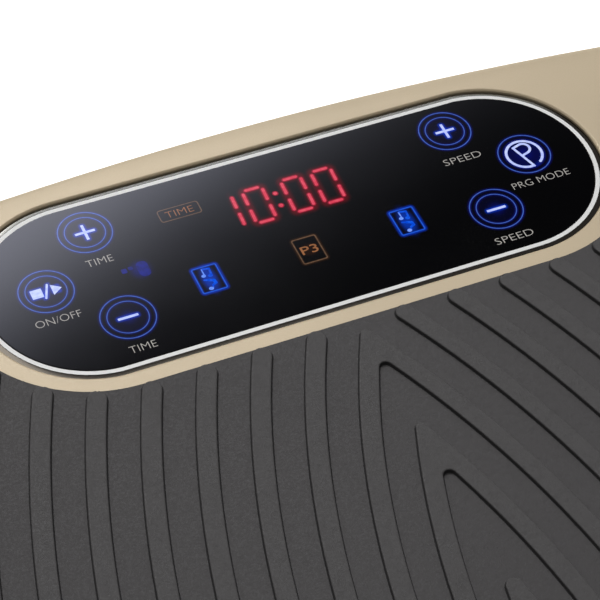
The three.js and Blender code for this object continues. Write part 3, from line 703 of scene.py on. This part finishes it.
def open_arc(cx, cy, radius, width, start, stop, steps=40):
    """A curved stroke with round ends, from start to stop in degrees."""
    start, stop = radians(start), radians(stop)
    half = width / 2
    first = (cx + radius * cos(start), cy + radius * sin(start))
    last = (cx + radius * cos(stop), cy + radius * sin(stop))
    points = [
        *arc(cx, cy, radius + half, start, stop, steps),
        *arc(*last, half, stop, stop + pi, 6),
        *arc(cx, cy, radius - half, stop, start, steps),
        *arc(*first, half, start + pi, start + 2 * pi, 6),
    ]
    return printed(points)


def lettering(text, cx, cy, height, width, weight=0.0):
    """Upright capitals centred on a point, height tall and width wide, as a thin closed print."""
    curve = bpy.data.curves.new("lettering", "FONT")
    curve.body = text
    curve.extrude = 0.5
    curve.offset = weight - 0.018
    curve.resolution_u = 4
    mesh = evaluated_mesh(new_object("lettering", curve))
    for axis, middle, size in ((0, cx, width), (1, KEY_Y + cy, height)):
        places = [vertex.co[axis] for vertex in mesh.vertices]
        low, high = min(places), max(places)
        for vertex in mesh.vertices:
            vertex.co[axis] = middle + (vertex.co[axis] - (low + high) / 2) * (size / (high - low))
    for vertex in mesh.vertices:
        vertex.co.z = PRINT_HIGH if vertex.co.z > 0 else PRINT_LOW
    with editing(mesh) as bm:
        bmesh.ops.remove_doubles(bm, verts=bm.verts, dist=1e-4)
    return mesh


def segment(cx, cy, x0, y0, x1, y1, grow=0.0):
    """One bar of a slanted seven-segment digit, with cut corners, about the digit's middle."""
    along = Vector((x1 - x0, y1 - y0)).normalized()
    side = Vector((-along.y, along.x))
    nose = along * (DIGIT_STROKE * 0.3 + grow)
    flank = side * (DIGIT_STROKE / 2 + grow)
    tip = flank * 0.45
    start, stop = Vector((x0, y0)), Vector((x1, y1))
    points = [
        start - nose + tip, start - nose - tip, start - flank, stop - flank,
        stop + nose - tip, stop + nose + tip, stop + flank, start + flank,
    ]
    return [(cx + p.x + SLANT * p.y, cy + p.y) for p in points]


def led_digits(grow=0.0):
    """The outlines of 10:00 in slanted bars, each grown by grow."""
    uprights = [(0.95, 4.15), (-4.15, -0.95)]
    made = [segment(ONE_X, DISPLAY_Y, 0, low, 0, high, grow) for low, high in uprights]
    for cx in ZEROS:
        for sign in (-1, 1):
            x, y = sign * ZERO_REACH, sign * ZERO_TOP
            made.append(segment(cx, DISPLAY_Y, -1.5, y, 1.5, y, grow))
            made += [segment(cx, DISPLAY_Y, x, low, x, high, grow) for low, high in uprights]
    for dy in (-1.89, 1.89):
        made.append(circle(COLON_X + SLANT * dy, DISPLAY_Y + dy, COLON_R + grow, 20))
    return made


def disc(x, y, rx, ry, at):
    return printed([(x + rx * px, y + ry * py) for px, py in circle(0, 0, 1, 18)], at)


def note_shapes(at):
    """The dimmer marks of a note tile: two joined stems over a falling wave."""
    strokes = [(0.85, 1.0, 0.95, 2.75, 0.5), (-0.5, 2.95, 0.9, 2.75, 0.55)]
    wave = [(-1.15, -0.05), (-0.2, -0.35), (0.75, -0.75), (0.85, -1.5), (0.1, -1.95)]
    widths = [0.5, 0.75, 0.8, 0.6]
    strokes += [(*a, *b, width) for a, b, width in zip(wave, wave[1:], widths)]
    made = [printed(bar(*stroke), at) for stroke in strokes]
    return made + [disc(0.55, 0.8, 0.55, 0.45, at), printed(bar(-0.1, -2.6, 0.05, -1.9, 0.3), at)]


def note_heads(at):
    """The brighter round heads of a note tile."""
    stem = printed(bar(-0.62, 1.2, -0.68, 2.95, 0.3), at)
    return [stem, disc(-0.86, 1.08, 0.5, 0.42, at), disc(-0.62, -2.72, 0.55, 0.45, at)]


def frame_mark(cx, cy):
    outer = rounded_box(cx, cy, *TILE, 0.5)
    return framed(outer, rounded_box(cx, cy, TILE[0] - TILE_LINE, TILE[1] - TILE_LINE, 0.3))


def key_glyphs():
    """The keys' symbols: plus, minus, square-stroke-triangle and the program key's open ring."""
    marks = []
    long, short = SIGN
    corners = [complex(*corner) for corner in ((long, short), (short, short), (short, long))]
    plus = [corner * 1j ** turn for turn in range(4) for corner in corners]
    marks += [printed([(point.real, point.imag) for point in plus], KEYS[key]) for key in PLUS_KEYS]
    marks += [printed(rounded_box(0, 0, *SIGN, 0.1), KEYS[key]) for key in MINUS_KEYS]
    start = [rounded_box(-2.05, 0, 1.24, 1.24, 0.1), bar(-0.55, -1.75, 0.75, 1.75, 0.5)]
    start.append([(1.3, -1.5), (3.45, 0.0), (1.3, 1.5)])
    marks += [printed(outline, KEYS[START_KEY]) for outline in start]
    marks.append(open_arc(*KEYS[PROGRAM_KEY], P_RING_R, 0.62, -54, 270))
    return marks


def letter_p(cx, cy):
    """A leaning P: a long stem and a round bowl joined by two short strokes."""
    down = Vector((sin(P_LEAN), -cos(P_LEAN)))
    side = Vector((cos(P_LEAN), sin(P_LEAN)))
    head = Vector(P_HEAD)
    flat = side * P_FLAT
    made = [printed(bar(*head, *(head + down * P_STEM), P_STROKE), (cx, cy))]
    for corner, gap in ((head, 0.0), (head + down * 2 * P_BOWL_R, 0.1)):
        made.append(printed(bar(*(corner + side * gap), *(corner + flat), P_STROKE), (cx, cy)))
    bowl = head + down * P_BOWL_R + flat
    turn = degrees(P_LEAN)
    made.append(open_arc(cx + bowl.x, cy + bowl.y, P_BOWL_R, P_STROKE, turn - 90, turn + 90, 16))
    return made


def panel_marks():
    """Every printed or lit mark on the panel, one piece for each kind of light."""
    rings = [circle_line(x, y, KEY_OUTER_R, LINE) for x, y in KEYS]
    rings += [circle_line(x, y, KEY_INNER_R, LINE * 0.9) for x, y in KEYS[:PROGRAM_KEY]]
    time_box = framed(rounded_box(*TIME_MARK, 4.75, 1.85, 0.7), rounded_box(*TIME_MARK, 4.53, 1.63, 0.5))
    ghost = [(-34.95, -0.85, 1.25, 2.2, 1.1), (-37.5, 0.2, 0.5, 0.45, 0.2), (-39.0, -0.1, 0.6, 0.65, 0.25)]
    x, y = PROGRAM_TILE
    program = lettering("P3", x, y + 0.05, 2.35, 3.8, 0.022)
    kinds = [
        ("key_rings", rings, RING_BLUE, shade(RING_BLUE, 1.25)),
        ("key_glyphs", key_glyphs() + letter_p(*KEYS[PROGRAM_KEY]), GLYPH_BLUE, (0.6, 0.68, 1.0)),
        ("note_frames", [frame_mark(*tile) for tile in NOTE_TILES], NOTE_BLUE, shade(NOTE_BLUE, 1.2)),
        ("note_shapes", sum(map(note_shapes, NOTE_TILES), []), (0.001, 0.055, 0.6), (0.005, 0.1, 0.78)),
        ("note_heads", sum(map(note_heads, NOTE_TILES), []), NOTE_PALE, (0.2, 0.36, 1.0)),
        ("dim_frames", [time_box, frame_mark(x, y)], DIM_ORANGE, shade(DIM_ORANGE, 1.5)),
        ("time_mark", [lettering("TIME", *TIME_MARK, 1.8, 6.3)], shade(ORANGE, 0.65), shade(ORANGE, 0.85)),
        ("program_mark", [program], shade(ORANGE, 0.6), shade(ORANGE, 0.8)),
        ("legends", [lettering(*legend) for legend in LEGENDS], LEGEND, shade(LEGEND, 1.15)),
        ("ghost_mark", [printed(rounded_box(*box)) for box in ghost], GHOST_BLUE, shade(GHOST_BLUE, 0.6)),
        ("display_digits", [printed(outline) for outline in led_digits()], LED_RED, (0.74, 0.08, 0.125)),
        (
            "display_halo", [printed(outline, high=PRINT_HIGH - 0.006) for outline in led_digits(0.25)],
            (0.24, 0.002, 0.018), (0.3, 0.004, 0.026),
        ),
    ]
    for name, meshes, color, core in kinds:
        piece(name, merge(meshes), lit(name, color, core), "platform")


# ---- deck

def rounding(low, high, radius, steps=6):
    """Levels of a quarter-round top edge as (height, inset), from the wall up to the flat."""
    turns = [pi / 2 * i / steps for i in range(steps + 1)]
    return [(high - radius * (1 - sin(t)), low + radius * (1 - cos(t))) for t in turns]


def deck_shell():
    """The champagne housing: one wall all round, a rounded top edge and the pocket for the panel."""
    ceiling = DECK_Z - WALL
    shell = lofted(plate_outline, [
        (ceiling, WALL + 1.5), (ceiling - 1.5, WALL), (SKIRT_Z + 0.8, WALL), (SKIRT_Z + 0.2, WALL - 0.5),
        (SKIRT_Z, WALL - 1), (SKIRT_Z, 0.9), (SKIRT_Z + 0.25, 0.3), (SKIRT_Z + 0.9, 0),
        *rounding(0, DECK_Z, EDGE_R), (DECK_Z, EDGE_R + 1.5),
    ])
    inside = [prism(oval_outline(SEAT_R), POCKET_Z - 3.5, ceiling + 0.5)]
    holes = [prism(oval_outline(WINDOW_R), POCKET_Z - 5, POCKET_Z + 1)]
    for i in range(1, 7):
        x, y, _ = node_middle(f"deck_screw_{i}")
        screw_end = node_box(f"deck_screw_{i}")[1].z
        inside.append(prism(circle(x, y, BOSS_R, 32), screw_end - 8.7, ceiling + 0.5))
        holes.append(prism(circle(x, y, PILOT_R, 24), screw_end - 10, DECK_Z - 4))
    shell = combine(shell, "UNION", merge(inside))
    lip_r = RING_R + 0.07
    pocket = lofted(oval_outline, [
        (POCKET_Z, lip_r), (DECK_Z - 0.36, lip_r), (DECK_Z - 0.2, lip_r + 0.15),
        (DECK_Z - 0.09, lip_r + 0.3), (DECK_Z - 0.02, lip_r + 0.45),
        (DECK_Z, lip_r + 0.58), (DECK_Z + 1, lip_r + 0.58),
    ])
    return combine(shell, "DIFFERENCE", pocket, merge(holes))


def bezel():
    """The ring: inner wall, flat bright top and sloping outside, given as (height, radius)."""
    top, low = RING_TOP, RING_LOW.z
    section = [
        (low, RING_IN_R), (top - 0.12, RING_IN_R), (top - 0.03, RING_IN_R + 0.03), (top, RING_IN_R + 0.1),
        (top, RING_R - 1.26), (top - 0.03, RING_R - 1.22), (top - 0.09, RING_R - 1.14),
        (top - 0.17, RING_R - 0.2), (top - 0.19, RING_R - 0.06), (top - 0.23, RING_R), (low, RING_R),
    ]
    levels = [[(x, y, z) for x, y in oval_outline(radius)] for z, radius in section]
    return loft(list(zip(*levels)), closed=True)


def glass():
    top = GLASS_TOP
    steps = [(GLASS_LOW.z, GLASS_R), (top - 0.05, GLASS_R), (top, GLASS_R - 0.05), (top, GLASS_R - 0.8)]
    return lofted(oval_outline, steps)


# ---- standing mat

def oval_tip(radius, fillet):
    """A pointed oval's tip: the Y of its fillet's middle, and the direction of its tangent point."""
    height = sqrt((radius - fillet) ** 2 - SPREAD ** 2)
    return height, atan2(height, SPREAD)


def tip_pairs(outer_r, inset):
    """Outer and inner points of a rib round the right half of its back tip, up to the middle."""
    outer_y, outer_turn = oval_tip(outer_r, RIB_TIP_R)
    inner_y, inner_turn = oval_tip(outer_r - RIB_WIDTH, RIB_THROAT_R)
    outer = arc(-SPREAD, 0, outer_r - inset, inner_turn, outer_turn, TIP_STEPS)
    outer += arc(0, outer_y, RIB_TIP_R - inset, outer_turn, pi / 2, TIP_STEPS)
    outer.append((0, outer_y + RIB_TIP_R - inset))
    inner = arc(0, inner_y, RIB_THROAT_R + inset, inner_turn, pi / 2, 2 * TIP_STEPS)
    inner.append((0, inner_y + RIB_THROAT_R + inset))
    return list(zip(outer, inner)), inner_turn


def leg_pairs(outer_r, inset, turns):
    """Outer and inner points down a rib's right leg at the given directions from the disc's centre."""
    sizes = (outer_r - inset, outer_r - RIB_WIDTH + inset)
    return [tuple((r * cos(turn) - SPREAD, r * sin(turn)) for r in sizes) for turn in turns]


def round_end(outer_r, inset, turn, way):
    """Pairs that close a leg with a half circle beyond a direction; way is 1 towards the back."""
    middle = outer_r - RIB_WIDTH / 2
    half = RIB_WIDTH / 2 - inset
    dx, dy = cos(turn), sin(turn)
    pairs = []
    for i in range(1, END_STEPS + 1):
        swing = radians(84) * i / END_STEPS
        ahead = half * sin(swing) * way
        x, y = middle * dx - SPREAD - dy * ahead, middle * dy + dx * ahead
        aside = half * cos(swing)
        pairs.append(((x + dx * aside, y + dy * aside), (x - dx * aside, y - dy * aside)))
    return pairs


def steps_between(start, stop, radius):
    """Directions from start to stop whose points lie about 5 mm apart."""
    count = max(2, round(abs(stop - start) * radius / 5))
    return [start + (stop - start) * i / count for i in range(count + 1)]


def leg_runs(outer_r):
    """Stretches of a right leg inside the mat, as directions from the front end to the back end."""
    middle = outer_r - RIB_WIDTH / 2
    limit = acos(min(1, (SPREAD + LEG_CLEAR) / middle))

    def inside(turn):
        depth = mat_depth(middle * cos(turn) - SPREAD, middle * sin(turn))
        return abs(turn) <= limit and depth >= RIB_WIDTH / 2 - RIB_OVERHANG

    def border(outside, within):
        for _ in range(30):
            half = (outside + within) / 2
            outside, within = (outside, half) if inside(half) else (half, within)
        return within

    count = 720
    turns = [limit * (2 * i / count - 1) * 1.001 for i in range(count + 1)]
    runs = []
    for before, after in zip(turns, turns[1:]):
        if inside(after) and not inside(before):
            runs.append([border(before, after), None])
        if inside(before) and not inside(after):
            runs[-1][1] = border(after, before)
    return [run for run in runs if (run[1] - run[0]) * middle > SHORTEST_LEG]


def flipped(pairs, sx, sy):
    return [((sx * a[0], sy * a[1]), (sx * b[0], sy * b[1])) for a, b in reversed(pairs)]


def whole_ring(outer_r, inset):
    """A rib that closes on itself: right leg, back tip, left leg, front tip."""
    tip, turn = tip_pairs(outer_r, inset)
    leg = leg_pairs(outer_r, inset, steps_between(-turn, turn, outer_r)[:-1])
    back = tip + flipped(tip, -1, 1)[1:]
    right = leg + back[:-1]
    left = [((-a[0], -a[1]), (-b[0], -b[1])) for a, b in right]
    return right + left


def lens_outline(outer_r, inset):
    """The innermost rib has no room for a hollow, so it is a solid pointed oval."""
    lens_r = outer_r + LENS_GROWTH
    tip_y, turn = oval_tip(lens_r, LENS_TIP_R)
    right = arc(-SPREAD, 0, lens_r - inset, -turn, turn, 24)
    right += arc(0, tip_y, LENS_TIP_R - inset, turn, pi - turn, 10)
    return right + [(-x, -y) for x, y in right]


def front_loop(outer_r, inset, stop):
    """A rib whose front tip is whole and whose two legs end at the panel bay."""
    tip, turn = tip_pairs(outer_r, inset)
    leg = leg_pairs(outer_r, inset, steps_between(-turn, stop, outer_r)[1:])
    right = flipped(tip, 1, -1) + leg + round_end(outer_r, inset, stop, 1)
    left = flipped(right, -1, 1)
    return left + right[1:]


def single_leg(outer_r, inset, start, stop):
    first = list(reversed(round_end(outer_r, inset, start, -1)))
    leg = leg_pairs(outer_r, inset, steps_between(start, stop, outer_r))
    return first + leg + round_end(outer_r, inset, stop, 1)


def rib_levels():
    """Heights up a rib's side, from root fillet to rounded top edge, with how far each is drawn in."""
    top, root = MAT_HIGH.z, SHEET_TOP
    return [
        (root - 0.5, -0.3), (root, -0.3), (root + 0.04, -0.2), (root + 0.12, -0.13),
        (top - 0.28, 0.0), (top - 0.12, 0.06), (top - 0.03, 0.18), (top, 0.38),
    ]


def rib_solid(pairs_at, closed):
    """A rib from a function that gives its outer and inner points at an inset."""
    levels = [(z, pairs_at(inset)) for z, inset in rib_levels()]
    sections = []
    for i in range(len(levels[0][1])):
        outer = [(*pairs[i][0], z) for z, pairs in levels]
        sections.append(outer + [(*pairs[i][1], z) for z, pairs in reversed(levels)])
    return loft(sections, closed)


def mirrored(mesh):
    copy = bpy.data.meshes.new("mirrored")
    with editing(copy, mesh) as bm:
        for vert in bm.verts:
            vert.co.x = -vert.co.x
        bmesh.ops.reverse_faces(bm, faces=bm.faces)
    return copy


def ribs():
    """All the mat's ribs, as closed solids that stay clear of each other."""
    made = []
    for number in range(RIB_COUNT):
        outer_r = FIRST_RIB_R + RIB_STEP * number
        tip_y = sqrt(outer_r ** 2 - SPREAD ** 2)
        if outer_r - RIB_WIDTH - RIB_THROAT_R < SPREAD:
            made.append(lofted(lambda inset: lens_outline(outer_r, inset), rib_levels()))
        elif tip_y < PANEL_Y - BAY_R:
            made.append(rib_solid(lambda inset: whole_ring(outer_r, inset), True))
        elif tip_y < HALF_Y - MAT_INSET - 3:
            stop = leg_runs(outer_r)[-1][1]
            made.append(rib_solid(lambda inset: front_loop(outer_r, inset, stop), False))
        else:
            for start, stop in leg_runs(outer_r):
                leg = rib_solid(lambda inset: single_leg(outer_r, inset, start, stop), False)
                made += [leg, mirrored(leg)]
    return made


def mat():
    """The sheet with its rounded border and the bay round the panel, and the ribs standing on it."""
    low = MAT_LOW.z
    border = [(low, 0.0), *rounding(0, SHEET_TOP, 0.6, 4), (SHEET_TOP, 1.6)]
    sheet = lofted(lambda inset: plate_outline(MAT_INSET + inset), border)
    sheet = combine(sheet, "DIFFERENCE", prism(bay_outline(), low - 1, MAT_HIGH.z + 1))
    return combine(sheet, "UNION", merge(ribs()))


# ---- base

BASE_FLOOR_Z = 14  # just above the bowl's floor
FOOT_X, FOOT_Y, _ = (abs(value) for value in node_middle("foot_back_right"))
FOOT_HOLE_R = 2.8
FLANGE_T = 2.3  # how far the inlet's face stands proud of the boss on the back wall
BOSS_HALF_X = 52
BOSS_LEVELS = (22, 50)
BACK_WALL = (140, 170)  # from inside to outside of the back wall in Y
END_WALL = (254, 266)  # the same at an end in X
SWITCH_WELL_Y = 150
WALL_OPENINGS = (("power_inlet", 14.3, 9.8), ("switch_bezel", 11.3, 7.8))  # half sizes
SPEAKER_Z = 41
SPEAKER_SLOTS = (-18, -9, 0, 9, 18)  # their middles in Y
FLOOR_VENTS = (215, 223, 231)  # their middles in X


def base_shell():
    """The black bowl with its speaker slots, floor vents, foot holes and the flat boss at the back."""
    low, top = BASE_LOW.z, BASE_HIGH.z
    cavity = [
        (top + 1, 15), (44, 15), (38, 15.3), (32, 15.8), (26, 17), (21, 18.7), (16, 21.4), (13, 23.5),
        (13, 26),
    ]
    outside = [
        (low, 30), (low, 26.5), (10.3, 25.2), (11, 23.4), (12, 21.4), (13.2, 19.7), (16, 17.9), (21, 15.5),
        (26, 13.9), (32, 12.8), (38, 12.2), (44, 12), (top, 12),
    ]
    shell = combine(lofted(plate_outline, outside), "DIFFERENCE", lofted(plate_outline, cavity))
    boss_y = node_box("power_inlet")[1].y - FLANGE_T
    low_z, high_z = BOSS_LEVELS
    boss = block((-BOSS_HALF_X, boss_y - 6, low_z), (BOSS_HALF_X, boss_y, high_z))
    shell = combine(shell, "UNION", bevelled(boss, 1.0, 3))
    cutters = []
    for node, half_x, half_z in WALL_OPENINGS:
        x, _, z = node_middle(node)
        cutters.append(block((x - half_x, BACK_WALL[0], z - half_z), (x + half_x, BACK_WALL[1], z + half_z)))
    for side in (-1, 1):
        for y in SPEAKER_SLOTS:
            slot = rounded_box(y, SPEAKER_Z, 1.5, 9, 1.4)
            ends = sorted(side * x for x in END_WALL)
            cutters.append(loft([[(x, py, pz) for py, pz in slot] for x in ends]))
        for x in FLOOR_VENTS:
            cutters.append(prism(rounded_box(side * x, 0, 1.5, 30, 1.4), low - 1, BASE_FLOOR_Z))
        for foot_y in (-FOOT_Y, FOOT_Y):
            cutters.append(prism(circle(side * FOOT_X, foot_y, FOOT_HOLE_R, 32), low - 1, BASE_FLOOR_Z))
    return combine(shell, "DIFFERENCE", merge(cutters))


def foot(cx, cy):
    """A tapered rubber foot: recessed underside with two grip rings and a counterbore for its screw."""
    profile = [
        (14, 0.0), (14.6, 0.0), (14.9, 0.45), (15.4, 0.45), (15.7, 0.0), (16.6, 0.0), (16.9, 0.45),
        (17.4, 0.45), (17.7, 0.0), (19.2, 0.0), (19.8, 0.25), (20, 0.8), (20, 1.3), (19.7, 1.9), (17.3, 3.7),
        (17, 4.2), (15.6, 8.6), (15.1, 9.4), (14.6, 9.7), (2.8, 9.7), (2.8, 4.3), (5.5, 4.3), (5.5, 2.3),
        (5.9, 2.0), (10.6, 2.0), (11.4, 1.6), (13.2, 0.2),
    ]
    return turned(profile, cx, cy, 64)


def speaker(side):
    """The speaker behind its slots: oblong frame, surround, cone, dust cap and magnet."""
    low, high = node_box("speaker_left" if side < 0 else "speaker_right")
    z = (low.z + high.z) / 2
    face = max(abs(low.x), abs(high.x))
    plate = bevelled(block((face - 3, -30, z - 11), (face, 30, z + 11)), 0.8, 2)
    cone = turned([
        (8.6, 0.0), (8.2, 0.6), (7.6, 0.8), (7.0, 0.5), (6.6, -0.2), (3.2, -1.9), (3.0, -1.6), (2.2, -0.9),
        (1.2, -0.5), (0.05, -0.4), (0.05, -2.6), (3.4, -2.6), (8.6, -1.2),
    ])
    magnet = turned([(0.05, -16), (9.4, -16), (10, -15.4), (10, -3.0), (9.0, -2.95), (0.05, -2.95)])
    hole = prism(circle(0, 0, 8.7, 48), -6, 2)
    to_side = Matrix.Translation((face - 1.0, 0, z)) @ Matrix.Rotation(pi / 2, 4, "Y")
    for mesh in (cone, magnet, hole):
        mesh.transform(to_side)
    basket = merge([combine(plate, "DIFFERENCE", hole), cone, magnet])
    return basket if side > 0 else mirrored(basket)


def along_y(node):
    """A function that lofts an outline along Y about a node's middle, and the node's back and front."""
    low, high = node_box(node)
    x, _, z = node_middle(node)

    def plane(points, near, far):
        return loft([[(x + px, y, z + pz) for px, pz in points] for y in (near, far)])

    return plane, low.y, high.y


def power_inlet():
    """Mains inlet: rounded flange, deep recess with cut upper corners and three blades."""
    plane, back, front = along_y("power_inlet")
    flange = bevelled(plane(rounded_box(0, 0, 22, 12, 2.5), front - 2, front), 0.5, 3)
    body = combine(flange, "UNION", plane(rounded_box(0, 0, 14, 9.5, 1.2), back, front - 1.5))
    well = [(-12, -7.8), (12, -7.8), (12, 3.8), (8, 7.8), (-8, 7.8), (-12, 3.8)]
    body = combine(body, "DIFFERENCE", plane(well, front - 17, front + 1))
    blades = []
    for x, z in ((-7, -2), (0, 2), (7, -2)):
        section = [(x - 1, z - 2), (x + 1, z - 2), (x + 1, z + 2), (x - 1, z + 2)]
        blades.append(bevelled(plane(section, front - 17.5, front - 5.5), 0.3, 2))
    return body, merge(blades)


def switch_frame():
    plane, back, front = along_y("switch_bezel")
    flange = bevelled(plane(rounded_box(0, 0, 13, 9.5, 1.4), front - 1.5, front), 0.4, 3)
    body = combine(flange, "UNION", plane(rounded_box(0, 0, 11, 7.5, 0.6), back, front - 1.0))
    return combine(body, "DIFFERENCE", plane(rounded_box(0, 0, 9, 6, 0.3), SWITCH_WELL_Y, front + 1))


def rocker():
    """The switch's rocker: the CAD's tilted body with softened edges."""
    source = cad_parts["switch_rocker"].data.copy()
    source.transform(Matrix.Scale(1 / MM, 4))
    with editing(source) as bm:
        bmesh.ops.remove_doubles(bm, verts=bm.verts, dist=1e-3)
    return bevelled(source, 0.35, 3, 10)


# ---- assembly

def build_deck():
    piece("deck", deck_shell(), GOLD, "platform", ["top_housing"])
    piece("ribbed_mat", mat(), MAT, "platform", ["standing_mat"])
    piece("panel_ring", bezel(), SILVER, "platform", ["bezel_ring"])
    piece("panel_face", glass(), glass_finish(), "platform", ["panel_glass"])
    panel_marks()


def build_base():
    piece("base_bowl", base_shell(), BLACK, "base", ["base_shell"])
    for place in ("front_left", "front_right", "back_left", "back_right"):
        node = f"foot_{place}"
        x, y, _ = node_middle(node)
        piece(f"rubber_{place}", foot(x, y), RUBBER, "base", [node])
    for side, name in ((-1, "speaker_left"), (1, "speaker_right")):
        piece(f"{name}_unit", speaker(side), BLACK, "base", [name])
    body, blades = power_inlet()
    piece("inlet_body", body, SOCKET, "base", ["power_inlet"])
    piece("inlet_blades", blades, ZINC, "base")
    piece("switch_surround", switch_frame(), SOCKET, "base", ["switch_bezel"])
    piece("switch_key", rocker(), SOCKET, "rocker", ["switch_rocker"])


CARRIED = {  # by how a CAD node's name begins; the others are zinc
    "platform_frame": STEEL, "motor_housing": STEEL, "eccentric_": STEEL,
    "base_frame": PAINTED, "motor_bracket": PAINTED,
    "pivot_block_": CAST, "crank_block_": CAST, "connecting_rod_": CAST,
    "driven_pulley": ALUMINIUM, "drive_pulley": ALUMINIUM, "heat_sink": ALUMINIUM,
    "buffer_": RUBBER, "drive_belt": RUBBER, "control_board": BOARD, "display_board": BOARD,
    "transformer": CORE, "inlet_lead": LEAD, "motor_fan": BLACK, "led_display": DIGITS,
}


def finish_carried():
    """Gives every CAD node that stays its finished material."""
    for name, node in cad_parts.items():
        fits = [material for start, material in CARRIED.items() if name.startswith(start)]
        node.data.materials.clear()
        node.data.materials.append(fits[0] if fits else ZINC)


# ---- stage

CAMERA_PLACE = Vector((-158.5, KEY_Y - 329.6, GLASS_TOP + 383.6)) * MM
CAMERA_RIGHT = Vector((0.91619, -0.39878, 0.03958))
CAMERA_UP = Vector((0.27342, 0.69426, 0.66576))
CAMERA_BACK = -Vector((0.29297, 0.59914, -0.74512))
CAMERA_LENS = 147.36


def make_camera():
    camera = new_object("camera", bpy.data.cameras.new("camera"))
    turn = Matrix((CAMERA_RIGHT, CAMERA_UP, CAMERA_BACK)).transposed().to_4x4()
    camera.matrix_world = Matrix.Translation(CAMERA_PLACE) @ turn
    camera.data.sensor_width = 36
    camera.data.lens = CAMERA_LENS
    camera.data.clip_start = 0.01
    camera.data.clip_end = 50
    bpy.context.scene.camera = camera


def stage_plane(name, size_x, size_y, matrix, material):
    mesh = bpy.data.meshes.new(name)
    x, y = size_x / 2, size_y / 2
    mesh.from_pydata([(-x, -y, 0), (x, -y, 0), (x, y, 0), (-x, y, 0)], [], [(0, 1, 2, 3)])
    mesh.materials.append(material)
    obj = new_object(name, mesh)
    obj.matrix_world = matrix
    return obj


def floor_finish():
    made = Finish("floor", 0.9)
    made.color(made.mix(made.noise(300, 2), (0.9, 0.9, 0.9), (0.94, 0.94, 0.94)))
    made.emit((1.0, 1.0, 1.0, 1.0), 0.6)
    return made.material


def facing(place, target):
    """A matrix at place whose local -Z looks at target, with local X level."""
    back = (place - target).normalized()
    right = Vector((0, 0, 1)).cross(back).normalized()
    up = back.cross(right)
    return Matrix.Translation(place) @ Matrix((right, up, back)).transposed().to_4x4()


def direction(azimuth, elevation):
    """Unit vector; azimuth is measured from +Y towards +X, in degrees."""
    a, e = radians(azimuth), radians(elevation)
    return Vector((sin(a) * cos(e), cos(a) * cos(e), sin(e)))


WORLD_FRONT = 0.12
WORLD_BACK = 0.5
WORLD_FADE = (-0.5, 0.8)  # where front turns to back, by the direction's Y
CARD_TURN = (28, 46)  # azimuth and elevation, seen from the panel
CARD_AWAY = 1.5
CARD_SIZE = (0.66, 0.4)
CARD_WHITE = (0.82, 0.84, 1.0)
LIGHT_TURN = (4, 50)
LIGHT_AWAY = 2.2
CARD_LEVEL = 5.6
CARD_REST = 0.02
CARD_SLOPE = (22.4, -25.8, -3.9)  # across, up and at the middle


def card_finish():
    """A glowing card, bright at its lower outer corner and fading smoothly across to black."""
    made = Finish("card", 1.0)
    made.shader["Specular IOR Level"].default_value = 0.0
    made.shader["Base Color"].default_value = (0.0, 0.0, 0.0, 1.0)
    across, up, middle = CARD_SLOPE
    slope = made.math("MULTIPLY_ADD", made.axis("X"), -across, -middle)
    slope = made.math("MULTIPLY_ADD", made.axis("Y"), -up, slope)
    glow = made.math("DIVIDE", 1.0, made.math("ADD", made.math("EXPONENT", slope), 1.0))
    level = made.math("MULTIPLY_ADD", glow, 1.0, CARD_REST / CARD_LEVEL)
    made.emit(made.mix(level, (0.0, 0.0, 0.0), CARD_WHITE), CARD_LEVEL)
    return made.material


def make_light(name, place, target, size, power, glossy=True):
    light = bpy.data.lights.new(name, "AREA")
    light.shape = "RECTANGLE"
    light.size, light.size_y = size
    light.energy = power
    obj = new_object(name, light)
    obj.matrix_world = facing(place, target)
    obj.visible_glossy = glossy


def studio_world():
    """White to the camera, and soft light that comes mostly from behind the plate."""
    world = bpy.data.worlds.new("studio")
    world.use_nodes = True
    made = Nodes(world.node_tree)
    place = made.add("TexCoord").outputs["Generated"]
    back = made.add("SeparateXYZ", {"Vector": place}).outputs["Y"]
    seen = made.add("LightPath").outputs["Is Camera Ray"]
    light = made.ramp(back, *WORLD_FADE, WORLD_FRONT, WORLD_BACK)
    level = made.add("Mix", {"Factor": seen, "A": light, "B": 1.0}).outputs["Result"]
    background = made.nodes["Background"].inputs
    made.put(background["Strength"], level)
    made.put(background["Color"], (1.0, 1.0, 1.0, 1.0))
    return world


def build_stage():
    scene = bpy.context.scene
    scene.view_settings.view_transform = "Standard"
    scene.world = studio_world()
    stage_plane("floor", 12, 12, Matrix.Identity(4), floor_finish())
    middle = Vector((0, PANEL_Y, GLASS_TOP)) * MM
    card_place = facing(middle + direction(*CARD_TURN) * CARD_AWAY, middle)
    card = stage_plane("card", *CARD_SIZE, card_place, card_finish())
    for ray in ("camera", "diffuse", "shadow", "transmission"):
        setattr(card, f"visible_{ray}", False)
    make_light("back", middle + direction(*LIGHT_TURN) * LIGHT_AWAY, middle, (1.4, 0.9), 28)
    make_light("top", Vector((0, -0.3, 2.4)), Vector((0, 0, 0)), (2.2, 2.2), 8, False)


make_camera()
build_deck()
build_base()
finish_carried()
build_stage()
